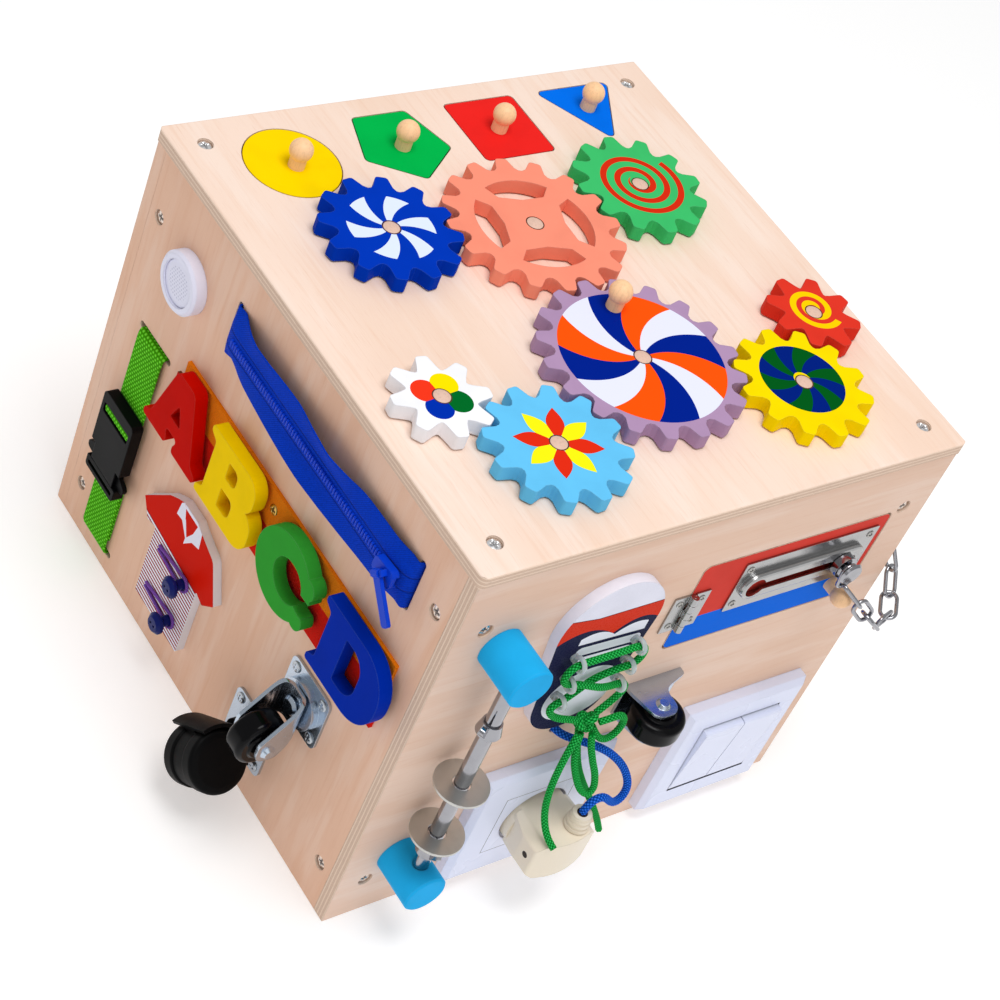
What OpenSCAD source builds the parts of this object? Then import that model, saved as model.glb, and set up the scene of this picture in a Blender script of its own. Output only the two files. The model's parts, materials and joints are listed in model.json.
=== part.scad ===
// Wooden activity cube: a plywood box with toys on its top, left and front faces.
// Frame: +Z up, origin at the centre of the base. The front faces -Y and the left faces -X.

/* [Box] */
// Width of the top panel, along X
box_w = 300; // [296:1:330]
// Depth of the top panel, along Y
box_d = 300; // [296:1:330]
// Height of the whole box
box_h = 263; // [258:1:290]
// Thickness of the plywood panels
ply = 8; // [7:0.5:10]
// How far the top panel stands past the sides
overhang = 1.5; // [0.5:0.5:4]
// Corner radius of the top panel
top_corner_r = 4; // [2:0.5:8]
// Rounding along the edges of the top panel
top_edge_r = 1.5; // [0.5:0.5:3]
// Side of the square battens in the corners
batten = 16; // [12:1:18]
// Thickness of the tray under the puzzle pieces
tray_t = 4; // [3:0.5:6]

/* [Screws] */
// Distance of the corner screws from the faces beside them
screw_inset = 17; // [14:0.5:20]
// Height of the lower screws above the base
screw_low = 28; // [20:1:40]
// Depth of the upper screws below the top
screw_drop = 43; // [35:1:50]
// Diameter of a screw head
screw_head_d = 8; // [6:0.5:9]
// Height of a screw head
screw_head_h = 2; // [1.5:0.1:3]
// Depth of a screw head below the face
screw_sink = 0.8; // [0.4:0.1:1.5]
// Diameter of a screw shank
screw_shank_d = 3.6; // [3:0.1:4]
// Length of screw in the batten
screw_bite = 6; // [4:0.5:7]

/* [Gears] */
// Module: pitch diameter over number of teeth
gear_module = 5.64; // [5.5:0.02:5.7]
// Thickness of a gear
gear_t = 8; // [6:0.5:10]
// Height of a gear above the top panel
gear_lift = 1; // [0.6:0.1:2]
// Height of a tooth above the pitch circle
tooth_top = 2.8; // [2.4:0.1:3]
// Depth of a tooth below the pitch circle
tooth_root = 5.5; // [5:0.1:6]
// Width of a tooth at the pitch circle
tooth_w = 7.6; // [6.6:0.1:7.8]
// Slope of a tooth's flanks, in degrees
tooth_slope = 16; // [12:1:18]
// Rounding of a tooth's tip
tooth_r = 1.8; // [1:0.1:2]
// Diameter of the axle pegs
axle_d = 8.5; // [7:0.5:10]
// Clearance round an axle peg
axle_gap = 0.1; // [0.05:0.01:0.15]
// Height of the peg's crown above the gear
axle_crown = 1; // [0.5:0.1:2]
// Diameter of the spacer under a gear
spacer_d = 18; // [14:1:22]
// Place of the crank gear along Y
crank_y = -59.5; // [-62:0.5:-58]
// Direction of the two lower gears below level, in degrees
lower_turn = 25.8; // [24:0.2:28]
// Direction of the two small gears above level, in degrees
small_turn = 45.9; // [44:0.1:48]
// Direction of the two upper gears above level, in degrees
upper_turn = 10; // [8:0.5:10.5]
// Distance of the crank knob from the gear's axle
crank_r = 34; // [28:1:40]
// Direction of the crank knob, in degrees
crank_turn = 80; // [0:5:360]
// Outer radius of the windows in the upper gear
window_r = 31.5; // [28:0.5:33]
// Inner radius of the windows in the upper gear
window_in_r = 17; // [14:0.5:20]
// Half the angle that a window spans, in degrees
window_half = 34; // [28:1:37]

/* [Knobs] */
// Diameter of a wooden knob
knob_d = 12; // [10:0.5:14]
// Diameter of a knob's neck
knob_neck_d = 8.5; // [7:0.5:9]
// Height of a knob
knob_h = 16; // [14:0.5:16.5]

/* [Puzzle pieces] */
// Clearance round a puzzle piece
puzzle_gap = 0.6; // [0.4:0.1:1]
// Radius of the disc
disc_r = 24.9; // [22:0.1:25.5]
// Radius of the pentagon's corners from its centre
penta_r = 27.3; // [24:0.1:28]
// Side of the square
square_w = 44; // [40:0.5:45]
// Side of the triangle
tri_w = 49; // [44:0.5:50]
// Rounding of the puzzle pieces' corners
puzzle_r = 2.5; // [1:0.5:4]

/* [Speaker button] */
// Diameter of the puck
puck_d = 33; // [30:0.5:36]
// Height of the puck
puck_h = 7.5; // [7:0.5:9]
// Diameter of the pressed disc
press_d = 24; // [20:0.5:26]
// Travel of the pressed disc
press_travel = 1.5; // [1:0.1:2]

/* [Strap and buckle] */
// Width of the webbing
strap_w = 25; // [22:0.5:27]
// Thickness of the webbing
strap_t = 1.3; // [1:0.1:1.5]
// Height of the upper slot
strap_top_z = 158; // [156:0.5:162]
// Height of the lower slot
strap_low_z = 12; // [11:0.2:15]
// Length of the strap slots
slot_w = 32; // [30:0.5:36]
// Height of the strap slots
slot_h = 4; // [3.8:0.1:5]
// Distance of the strap from the left face's middle
strap_u = 106; // [104:0.5:108]
// Width of the buckle
buckle_w = 31; // [30:0.5:34]
// Thickness of the buckle
buckle_t = 6.5; // [6:0.5:8]
// Clearance between the buckle's halves
buckle_gap = 0.4; // [0.3:0.1:0.6]

/* [Zipper] */
// Width of the zipper tape
tape_w = 30; // [26:0.5:32]
// Thickness of the zipper tape
tape_t = 1.2; // [0.8:0.1:1.4]
// Height of the zipper tape above the face
tape_rise = 6.2; // [5:0.1:8]
// Height of the zipper's middle, as a share of the box's height
tape_share = 0.8327; // [0.82:0.0001:0.84]
// Distance from the left face's middle to the slot at the back
tape_back = 53.5; // [50:0.5:56]
// Distance from the left face's middle to the slot at the front
tape_front = 114.5; // [112:0.5:116]
// Width of the chain of teeth
teeth_w = 5; // [4:0.5:6]
// Spacing of the zipper teeth
teeth_step = 3; // [2.5:0.1:4]
// Length of the slider
slider_l = 15; // [13:0.5:17]
// Length of the pull
pull_l = 25; // [20:0.5:28]

/* [Letters] */
// Height of a letter
letter_h = 45; // [42:0.5:46]
// Thickness of a letter
letter_t = 7.5; // [6:0.5:9]
// Thickness of a loop strip or a hook pad
pile_t = 2; // [1.5:0.1:2.5]
// Height of the line between the two loop strips, as a share of the box's height
strip_share = 0.5817; // [0.57:0.0001:0.59]
// Width of a loop strip
strip_w = 22.5; // [21:0.5:24]

/* [Shirt] */
// Thickness of the shirt board
shirt_t = 5; // [4:0.5:7]
// Diameter of a shank button
button_d = 12; // [10:0.5:13]
// Diameter of the elastic
elastic_d = 1.8; // [1.4:0.1:2]

/* [Casters] */
// Side of a caster's plate
plate_w = 35; // [32:0.5:37]
// Thickness of a caster's plate
plate_t = 1.6; // [1.2:0.1:1.8]
// Radius of the single wheels
wheel_r = 14.5; // [13:0.5:14.5]
// Width of the single wheels
wheel_w = 15; // [13:0.5:16]
// Diameter of a wheel's rivet
rivet_d = 5; // [4:0.5:6]
// Clearance round a rivet or a swivel pin
rivet_gap = 0.1; // [0.05:0.01:0.15]
// Distance of the swivel caster's axle from its pin
swivel_trail = 17; // [16.5:0.5:19]
// Height of the swivel caster's axle above the face
swivel_axle = 23; // [23:0.5:26]
// Radius of the twin wheels
twin_r = 16.8; // [15:0.2:17]
// Height of the twin caster's axle above the face
twin_axle = 27; // [26.6:0.2:30]
// Height of the fixed caster's axle above the face
fixed_axle = 17; // [16.5:0.5:19]

/* [Bolt] */
// Diameter of a post
post_d = 23.5; // [22:0.5:25]
// Length of a post
post_l = 27; // [25:0.5:30]
// Diameter of the rod
rod_d = 8; // [7:0.2:8.6]
// Height of the rod above the face
rod_out = 15.5; // [15:0.1:16]
// Height of the upper post
post_top_z = 204.4; // [202:0.2:208]
// Height of the lower post
post_low_z = 44; // [42:0.2:46]
// Diameter of a washer
washer_d = 28; // [24:0.5:29]
// Hole of a washer
washer_hole = 9.5; // [9.2:0.1:9.8]
// Thickness of a washer
washer_t = 1.5; // [1:0.1:2]
// Reach of a wing nut's wings from its axis
wing_r = 14; // [12:0.5:14.4]
// Clearance of a nut on the rod
nut_gap = 0.1; // [0.05:0.01:0.15]

/* [Shoe] */
// Thickness of the shoe board
shoe_t = 6; // [5:0.5:7]
// Radius of the toe
toe_r = 30.5; // [28:0.5:31]
// Radius of the heel
heel_r = 24; // [20:0.5:25]
// Height of the toe's centre
toe_z = 202; // [200:0.5:204]
// Height of the heel's centre
heel_z = 151; // [149:0.5:153]
// Diameter of the lace
lace_d = 3.8; // [3.4:0.1:4]
// Height of a lace loop's middle above the board
eyelet_out = 5; // [5:0.1:6]

/* [Door] */
// Width of the door's cut-out
door_w = 126; // [122:0.5:128]
// Height of the door's cut-out
door_h = 62; // [60:0.5:64]
// Height of the bottom of the cut-out
door_z = 156.5; // [155:0.5:158]
// Gap round the door
door_gap = 0.8; // [0.6:0.1:1.2]
// Corner radius of the cut-out
door_r = 4; // [2:0.5:6]
// Length of the hinge
hinge_l = 25; // [22:0.5:28]
// Width of a hinge leaf
hinge_w = 11; // [9:0.5:12]
// Thickness of the hinge leaves and the chain track
sheet_t = 1.1; // [0.8:0.1:1.3]
// Diameter of the hinge pin
pin_d = 2; // [1.6:0.1:2.2]
// Length of the chain track
track_l = 90; // [88:0.5:92]
// Width of the chain track
track_w = 35; // [32:0.5:36]
// Diameter of the chain's wire
wire_d = 2.2; // [1.8:0.1:2.4]
// Length from link to link
link_step = 13.8; // [13.4:0.1:14]
// Width of a link
link_w = 10.5; // [10:0.1:11]

/* [Socket and switch] */
// Side of the socket's plate
socket_w = 82.5; // [80:0.5:84]
// Side of the switch's frame
switch_w = 83; // [80:0.5:84]
// Thickness of the plates
cover_t = 8.5; // [8:0.5:9.5]
// Bevel of the plates' edges
cover_bevel = 3; // [1:0.5:4]
// Radius of the socket's well
well_r = 20; // [19.5:0.1:21]
// Depth of the socket's well
well_deep = 17.5; // [16:0.5:19]
// Side of the opening for the two rockers
rocker_space = 54.8; // [53:0.2:56]
// Clearance round a rocker
rocker_gap = 0.5; // [0.4:0.1:0.8]
// Lean of a rocker at rest, in degrees
rocker_lean = 4.2; // [3:0.1:4.5]
// Width of the plug
plug_w = 38; // [36:0.5:39]
// Height of the plug
plug_h = 26; // [24:0.5:27]
// How far the plug stands out from the face
plug_out = 39; // [38:0.5:41]
// Diameter of the plug's cord
cord_d = 4.4; // [4:0.1:4.8]

/* [Hidden] */
$fn = 64;
eps = 0.01;
// Sheet-to-sheet gap between pieces that move on each other
slip = 0.3;
// Snug gap between pieces that stay together
snug = 0.05;
side_x = box_w / 2 - overhang;
side_y = box_d / 2 - overhang;
in_x = side_x - ply;
in_y = side_y - ply;
side_h = box_h - ply;
screw_high = box_h - screw_drop;

// Places of the gears, worked outwards from the crank gear
crank_teeth = 18;
upper_teeth = 16;
mid_teeth = 12;
small_teeth = 8;
crank_c = [0, crank_y];
upper_c = beside(crank_c, crank_teeth, upper_teeth, 90);
blue_c = beside(upper_c, upper_teeth, mid_teeth, 180 - upper_turn);
green_c = beside(upper_c, upper_teeth, mid_teeth, upper_turn);
sky_c = beside(crank_c, crank_teeth, mid_teeth, 180 + lower_turn);
yellow_c = beside(crank_c, crank_teeth, mid_teeth, -lower_turn);
white_c = beside(sky_c, mid_teeth, small_teeth, 180 - small_turn);
red_c = beside(yellow_c, mid_teeth, small_teeth, small_turn);
gear_centres = [crank_c, upper_c, blue_c, green_c, sky_c, yellow_c, white_c, red_c];
// Turn of each gear that lets its teeth mesh
crank_phase = 90;
upper_phase = meshed(crank_teeth, crank_phase, upper_teeth, 90);
blue_phase = meshed(upper_teeth, upper_phase, mid_teeth, 180 - upper_turn);
green_phase = meshed(upper_teeth, upper_phase, mid_teeth, upper_turn);
sky_phase = meshed(crank_teeth, crank_phase, mid_teeth, 180 + lower_turn);
yellow_phase = meshed(crank_teeth, crank_phase, mid_teeth, -lower_turn);
white_phase = meshed(mid_teeth, sky_phase, small_teeth, 180 - small_turn);
red_phase = meshed(mid_teeth, yellow_phase, small_teeth, small_turn);
gear_z = box_h + gear_lift;

// Puzzle outlines about the centre of the top
disc_c = [-95.7, 111.4];
penta_c = [-30, 113.9];
square_c = [32.7, 114.2];
tri_c = [95.5, 121.9];
tray_front = 82;

// Left face places are [across, up], with across running to the right as the face is seen
puck_at = [-95, 210.6];
puck_floor = 1.5;
press_t = 3;
buckle_low_z = 58;
buckle_mid_z = 66;
buckle_top_z = 113;
strap_rise = 0.4;
buckle_back = strap_rise + 2 * strap_t + slip;
buckle_wall = 3;
buckle_skin = 1.6;
ear_h = 10;
ear_out = 4;
prong_w = 6;
prong_l = 22;
window_h = 6;
bar_h = 7;
low_window_h = 2.4;
low_bar_h = 2.6;
slider_at = 103;
slider_w = 11;
slider_t = 4;
chain_rise = 1.4;
pull_w = 5;
pull_t = 2;
pull_turn = -45;
pull_pin_d = 2.4;
tape_z = box_h * tape_share;
strip_z = box_h * strip_share;
strip_from = -75.4;
strip_to = 126;
letter_z = strip_z + 2.5;
letter_at = [-59.6, -7.3, 47.1, 107];
letter_out = 2 * pile_t + 0.2;
pad_w = 22;
shirt_at = [-34.2, 25.5];
button_at = [[-22.1, 68.5], [-23.3, 38.5]];
elastic_l = 26;
swivel_at = [81.7, 95.7];
twin_at = [54.5, 38.5];
twin_turn = 40.5;
fork_in = wheel_w + 3;
fork_t = 2;
ring_h = 4;
crown_r = 8.5;
fork_z = plate_t + ring_h + slip;
swivel_pin_d = 6;
swivel_nut_z = fork_z + fork_t + 3 * slip;
twin_pin_d = 6;
twin_trail = 6.5;
twin_boss = 3;
twin_gap = 9;
twin_wheel_w = 10;

// Front face places are [across, up]
post_x = -117.5;
nut_h = 7;
nut_d = 13;
nut_z = [165, 72];
washer_z = [121, 78];
shoe_x = -56.5;
eyelet_x = [-71, -34.5];
eyelet_z = [186, 171.5, 158];
eyelet_r = 3.6;
eyelet_d = 2.4;
cord_hole_at = [-49, 115];
knot_at = [-47.5, 136, 13];
knot_r = 6;
fixed_at = [6, 123];
fixed_axle_x = 0.2;
fixed_w = 36;
door_x = side_x - 149;
hinge_axis = [door_x + 1.2, 2.4];
hinge_z = 186.5;
knuckle_r = 2.1;
door_knob_at = [door_x + 108.5, 170];
track_at = [door_x + 75, 193.5];
track_slot = 2.6;
track_rise = 4.2;
track_half = 8.5;
track_round = 1.6;
slot_from = track_at[0] - 33.5;
slot_to = track_at[0] + 31.5;
key_r = 6;
chain_at = track_at[0] + 24.5;
chain_neck_d = 4.4;
chain_foot_r = 5;
chain_button_r = 6.8;
chain_out = 14;
socket_at = [-43.75, 51.75];
well_at = [-42, 51.5];
socket_base = 12;
socket_pin_d = 4.8;
socket_pin_step = 19;
socket_pin_l = 10;
switch_at = [88.5, 50.2];
rocker_pin_d = 4;
rocker_pin_out = 3;
rocker_deep = 4;
relief_at = [-33.5, 62, 28.5];
relief_l = 13;

// Routes of the cords as [across, up, out] on the front face
lace_run = [
    [-53.5, 138.5, 12.5], [-58, 140.5, 12], [-66, 144, 11.5], [-72.5, 148.5, 11], [-76, 154, 11],
    [-75, 157.5, 11], [-71, 158, 11], [-62, 160.5, 9.6], [-52.5, 164.8, 8.6], [-43, 169, 9.6],
    [-34.5, 171.5, 11], [-30.5, 173, 11], [-28.5, 178.7, 11], [-30.5, 184.5, 11], [-34.5, 186, 11],
    [-43, 186.2, 11.2], [-52.7, 186.3, 11.3], [-62, 186.2, 11.2], [-71, 186, 11], [-75, 184.5, 11],
    [-77, 178.7, 11], [-75, 173, 11], [-71, 171.5, 11], [-62, 169, 12.4], [-52.5, 164.8, 13.5],
    [-43, 160.5, 12.4], [-34.5, 158, 11], [-30.5, 156.8, 11], [-28.5, 152, 11], [-31.5, 146.5, 11.2],
    [-36.5, 142.5, 11.6], [-41.8, 139.3, 12.2]];
bow_side = [
    [-41.1, 136.3, 16], [-35.5, 138, 17], [-28.5, 137.2, 16.5], [-23.3, 132, 16], [-22, 125, 16],
    [-25.5, 119, 16.3], [-31.5, 118.8, 16.5], [-37, 123.8, 15.8], [-42.3, 131.8, 14.4]];
bow_long = [
    [-49.2, 129.9, 15.2], [-49.5, 121, 17], [-47.5, 110, 19.5], [-44, 100, 22.5], [-40, 92.5, 25],
    [-35.5, 89.3, 26.5], [-33.2, 93.5, 26.5], [-35.5, 103, 25], [-39.5, 113, 22.5], [-43, 123, 20],
    [-45, 131.6, 18.3]];
tail_left = [
    [-53.1, 132.9, 16.9], [-55.8, 125.5, 18.5], [-57.3, 115, 19.5], [-58, 104, 20.5], [-58, 93, 21.8],
    [-57.5, 82.5, 24], [-56.5, 73.5, 28], [-55.5, 68, 33.2], [-55, 66.9, 38]];
tail_right = [
    [-46.7, 129.2, 10.4], [-45.5, 122, 12.2], [-43, 111, 14.8], [-39, 100, 17], [-33, 89, 18.4],
    [-26, 78, 19], [-19.5, 68, 19.8], [-13.5, 58, 21.2], [-8.5, 48.5, 23], [-5.5, 41.5, 24.5]];
plug_route = [
    [-33.5, 75.3, 28.5], [-33.2, 80, 28.5], [-29.5, 84.5, 28.5], [-23.5, 83.5, 28.5], [-18, 78, 28.5],
    [-12.5, 73, 28.3], [-7, 74.5, 27.6], [-5.5, 81.5, 26.2], [-8.5, 90, 23.6], [-14, 98, 20.4],
    [-21.5, 104.5, 16.5], [-30.5, 109.3, 12.5], [-39.5, 112.5, 8.8], [-45.7, 114.3, 5.4], [-48.7, 115, 2],
    [-49, 115, -4]];

// Chain joints as [across, up, out] on the front face: from the button, then from the right edge
// beside the anchor
chain_button_side = [[-0.5, 2.8, 10.6], [2.1, -10.7, 10.6], [8, -16.9, 21.2], [17.5, -26.7, 23.5],
    [27.6, -36, 24.5]];
chain_anchor_side = [[-17, -22.4, 23.4], [-4.1, -25.9, 19.2], [4.5, -23.1, 8.8], [6.7, -12.3, 0.3],
    [4.7, -1.1, -7.6]];
anchor_at = [8.3 - side_y, track_at[1] - 15.8];
anchor_turn = 55;
staple_r = 4;
staple_leg = 3;

// Gear train
function beside(c, z1, z2, a) = c + gear_module * (z1 + z2) / 2 * [cos(a), sin(a)];
function meshed(z1, phase1, z2, a) = a + 180 + z1 * (a - phase1) / z2 - 180 / z2;

// Outline helpers
function unit(v) = v / norm(v);
function arc(c, r, from, to, steps) =
    [for (i = [0:steps]) let (a = from + (to - from) * i / steps) c + r * [cos(a), sin(a)]];
function bearing(v) = atan2(v[1], v[0]);
function wrapped(a) = a > 180 ? a - 360 : a < -180 ? a + 360 : a;
// Arc that rounds the corner at p between its neighbours, with radius p[2]
function corner(before, p, after, steps) =
    p[2] == 0 ? [[p[0], p[1]]] :
    let (
        at = [p[0], p[1]],
        a = unit([before[0], before[1]] - at),
        b = unit([after[0], after[1]] - at),
        half = acos(a * b) / 2,
        c = at + unit(a + b) * p[2] / sin(half),
        from = bearing(at + a * p[2] / tan(half) - c),
        to = from + wrapped(bearing(at + b * p[2] / tan(half) - c) - from)
    ) arc(c, p[2], from, to, steps);
// Outline through corners given as [x, y, radius]
function rounded(p, steps = 6) =
    [for (i = [0:len(p) - 1]) each corner(p[(i + len(p) - 1) % len(p)], p[i], p[(i + 1) % len(p)], steps)];
function box_corners(w, h, r) =
    [[-w / 2, -h / 2, r], [w / 2, -h / 2, r], [w / 2, h / 2, r], [-w / 2, h / 2, r]];

module rounded_rect(w, h, r) {
    square([w - 2 * r, h], center = true);
    square([w, h - 2 * r], center = true);
    for (x = [-1, 1], y = [-1, 1]) {
        translate([x * (w / 2 - r), y * (h / 2 - r)]) circle(r);
    }
}

// Face frames: X runs right and Y up as the face is seen, and Z points out of it
module on_front(at = [0, 0], out = 0) {
    translate([at[0], -side_y - out, at[1]]) rotate([90, 0, 0]) children();
}
module on_back(at = [0, 0], out = 0) {
    translate([-at[0], side_y + out, at[1]]) rotate([90, 0, 180]) children();
}
module on_left(at = [0, 0], out = 0) {
    translate([-side_x - out, -at[0], at[1]]) rotate([90, 0, -90]) children();
}
module on_right(at = [0, 0], out = 0) {
    translate([side_x + out, at[0], at[1]]) rotate([90, 0, 90]) children();
}
// Turns an outline in a face's [up, out] plane into a bar that runs across the face
module across(length) {
    rotate([90, 0, 90]) linear_extrude(length, center = true) children();
}
// Turns an outline in a face's [across, out] plane into a bar that runs up the face
module upward(length) {
    rotate([90, 0, 0]) linear_extrude(length, center = true) children();
}

// Tube swept along points, with its rings carried without twist
function tangents(p) =
    [for (i = [0:len(p) - 1]) unit(p[min(i + 1, len(p) - 1)] - p[max(i - 1, 0)])];
function carried(t, n, i = 0) =
    i == len(t) ? [] : let (m = unit(n - (n * t[i]) * t[i])) concat([m], carried(t, m, i + 1));
module tube(points, d, sides = 8) {
    t = tangents(points);
    n = carried(t, abs(t[0][2]) < 0.9 ? [0, 0, 1] : [1, 0, 0]);
    last = len(points) - 1;
    rings = [for (i = [0:last], k = [0:sides - 1])
        points[i] + d / 2 * (cos(360 * k / sides) * n[i] + sin(360 * k / sides) * cross(t[i], n[i]))];
    walls = [for (i = [0:last - 1], k = [0:sides - 1]) let (j = (k + 1) % sides, a = i * sides)
        each [[a + k, a + sides + k, a + j], [a + j, a + sides + k, a + sides + j]]];
    ends = [[for (k = [0:sides - 1]) k], [for (k = [sides - 1:-1:0]) last * sides + k]];
    polyhedron(rings, concat(walls, ends));
}

// Places of the corner screws on each face
module side_screws() {
    for (x = [-1, 1], z = [screw_low, screw_high]) {
        on_front([x * (side_x - screw_inset), z]) children();
        on_back([x * (side_x - screw_inset), z]) children();
        on_left([x * (side_y - screw_inset), z]) children();
        on_right([x * (side_y - screw_inset), z]) children();
    }
}
module top_screws() {
    for (x = [-1, 1], y = [-1, 1]) {
        translate([x * (box_w / 2 - screw_inset), y * (box_d / 2 - screw_inset), box_h]) children();
    }
}
module screw_hole() {
    seat = screw_sink + screw_head_h;
    translate([0, 0, -seat]) cylinder(d = screw_head_d + 2 * snug, h = seat + 1);
    translate([0, 0, -ply - screw_bite - 1])
        cylinder(d = screw_shank_d + 2 * snug, h = ply + screw_bite + 1);
}
module screw() {
    slot = [screw_head_d * 0.55, 1.1, 1.2];
    difference() {
        union() {
            translate([0, 0, -screw_sink - screw_head_h]) cylinder(d = screw_head_d, h = screw_head_h);
            translate([0, 0, -ply - screw_bite])
                cylinder(d = screw_shank_d, h = ply + screw_bite - screw_sink - 1);
        }
        for (a = [0, 90]) {
            translate([0, 0, -screw_sink]) rotate(a) cube([slot[0], slot[1], 2 * slot[2]], center = true);
        }
    }
}

// Turned wooden knob that stands on Z = 0
module knob() {
    cylinder(d = knob_neck_d, h = knob_h - knob_d / 2);
    translate([0, 0, knob_h - knob_d / 2]) sphere(d = knob_d);
}

// Puzzle outlines, each about its own centre
module puzzle_shape(kind, grow = 0) {
    if (kind == "circle") {
        circle(disc_r + grow);
    }
    if (kind == "pentagon") {
        r = penta_r + grow / cos(36);
        polygon(rounded([for (i = [0:4]) [r * sin(72 * i), -r * cos(72 * i), puzzle_r + grow]]));
    }
    if (kind == "square") {
        polygon(rounded(box_corners(square_w + 2 * grow, square_w + 2 * grow, puzzle_r + grow)));
    }
    if (kind == "triangle") {
        r = tri_w / sqrt(3) + 2 * grow;
        polygon(rounded([for (i = [0:2]) [r * sin(120 * i), -r * cos(120 * i), puzzle_r + grow]]));
    }
}
module puzzle_piece(kind, c, knob_shift) {
    translate([c[0], c[1], side_h]) {
        linear_extrude(ply) puzzle_shape(kind);
        translate([knob_shift[0], knob_shift[1], ply]) knob();
    }
}

module top_panel() color("#f2d9bd") difference() {
    intersection() {
        translate([0, 0, side_h]) linear_extrude(ply) rounded_rect(box_w, box_d, top_corner_r);
        translate([0, 0, box_h - ply / 2]) rotate([90, 0, 90])
            linear_extrude(box_w + 2, center = true) rounded_rect(box_d, ply, top_edge_r);
        translate([0, 0, box_h - ply / 2]) rotate([90, 0, 0])
            linear_extrude(box_d + 2, center = true) rounded_rect(box_w, ply, top_edge_r);
    }
    puzzle_hole("circle", disc_c);
    puzzle_hole("pentagon", penta_c);
    puzzle_hole("square", square_c);
    puzzle_hole("triangle", tri_c);
    top_screws() screw_hole();
    for (c = gear_centres) {
        translate([c[0], c[1], side_h - 1]) cylinder(d = axle_d + 2 * snug, h = ply + 2);
    }
}
module puzzle_hole(kind, c) {
    translate([c[0], c[1], side_h - 1]) linear_extrude(ply + 2) puzzle_shape(kind, puzzle_gap);
}

module front_panel() color("#e6c8a8") difference() {
    translate([-side_x, -side_y, 0]) cube([2 * side_x, ply, side_h]);
    side_screws() screw_hole();
    on_front([door_x + door_w / 2, door_z + door_h / 2], -ply - 1) linear_extrude(ply + 2)
        rounded_rect(door_w, door_h, door_r);
    on_front(cord_hole_at, -ply - 1) cylinder(d = cord_d + 1, h = ply + 2);
    on_front(well_at, -ply - 1) cylinder(r = well_r + 2.5 + snug, h = ply + 2);
    on_front(switch_at, -ply - 1) linear_extrude(ply + 2) square(rocker_space + 2, center = true);
}

module left_panel() color("#e6c8a8") difference() {
    translate([-side_x, -in_y, 0]) cube([ply, 2 * in_y, side_h]);
    side_screws() screw_hole();
    for (z = [strap_top_z, strap_low_z]) {
        on_left([-strap_u, z], -ply - 1) linear_extrude(ply + 2)
            rounded_rect(slot_w, slot_h, slot_h / 2 - eps);
    }
    for (u = [-tape_back, tape_front]) {
        on_left([u, tape_z], -ply - 1) linear_extrude(ply + 2)
            rounded_rect(slot_h, tape_w + 2, slot_h / 2 - eps);
    }
}

module rear_panels() color("#e6c8a8") difference() {
    union() {
        translate([-side_x, in_y, 0]) cube([2 * side_x, ply, side_h]);
        translate([in_x, -in_y, 0]) cube([ply, 2 * in_y, side_h]);
    }
    side_screws() screw_hole();
}

module inner_frame() color("#d9b892") {
    translate([-in_x, -in_y, 0]) cube([2 * in_x, 2 * in_y, ply]);
    difference() {
        for (x = [-1, 1], y = [-1, 1]) {
            translate([x * (in_x - batten / 2), y * (in_y - batten / 2), (ply + slip + side_h) / 2])
                cube([batten, batten, side_h - ply - slip], center = true);
        }
        side_screws() screw_hole();
        top_screws() screw_hole();
    }
    tray_x = in_x - batten - slip;
    translate([-tray_x, tray_front, side_h - tray_t]) cube([2 * tray_x, in_y - tray_front, tray_t]);
}

module panel_screws() color("silver") {
    side_screws() screw();
    top_screws() screw();
}

module gear_axles() color("#e0bf95") for (c = gear_centres) {
    translate([c[0], c[1], 0]) {
        translate([0, 0, box_h]) cylinder(d = spacer_d, h = gear_lift - slip);
        intersection() {
            translate([0, 0, side_h]) cylinder(d = axle_d, h = ply + gear_lift + gear_t + axle_crown);
            dome_r = (pow(axle_d / 2, 2) + pow(axle_crown, 2)) / (2 * axle_crown);
            union() {
                translate([0, 0, side_h]) cylinder(d = axle_d + 1, h = ply + gear_lift + gear_t);
                translate([0, 0, gear_z + gear_t + axle_crown - dome_r]) sphere(dome_r);
            }
        }
    }
}

// One tooth about +X, from one root to the other
function tooth(z) =
    let (
        pitch = gear_module * z / 2,
        tip = pitch + tooth_top,
        root = pitch - tooth_root,
        foot = tooth_w / 2 + tooth_root * tan(tooth_slope),
        lift = 1.2,
        valley = 360 / z - 2 * asin(foot / root),
        rise = (tip - tooth_r - root) * tan(tooth_slope),
        side = foot - rise - tooth_r / cos(tooth_slope),
        arc_up = arc([tip - tooth_r, -side], tooth_r, tooth_slope - 90, 0, 4),
        arc_down = arc([tip - tooth_r, side], tooth_r, 0, 90 - tooth_slope, 4)
    ) concat(
        [[root * cos(180 / z - valley * 0.2), -root * sin(180 / z - valley * 0.2)]],
        [[root + lift, lift * tan(tooth_slope) - foot]], arc_up, arc_down,
        [[root + lift, foot - lift * tan(tooth_slope)]],
        [[root * cos(180 / z - valley * 0.2), root * sin(180 / z - valley * 0.2)]]);
module gear_shape(z) {
    polygon([for (i = [0:z - 1], p = tooth(z)) let (a = 360 * i / z)
        [p[0] * cos(a) - p[1] * sin(a), p[0] * sin(a) + p[1] * cos(a)]]);
}
module gear(z, c, phase) {
    translate([c[0], c[1], gear_z]) rotate(phase) difference() {
        linear_extrude(gear_t) gear_shape(z);
        translate([0, 0, -1]) cylinder(d = axle_d + 2 * axle_gap, h = gear_t + 2);
    }
}
module gear_window() {
    inner = window_in_r / cos(window_half) * 1.12;
    polygon(rounded(concat(
        [[window_in_r, 0, 1]],
        [[inner * cos(-window_half), inner * sin(-window_half), 1]],
        [for (a = [-window_half:4:window_half]) [window_r * cos(a), window_r * sin(a), 0]],
        [[inner * cos(window_half), inner * sin(window_half), 1]]), 4));
}

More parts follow.
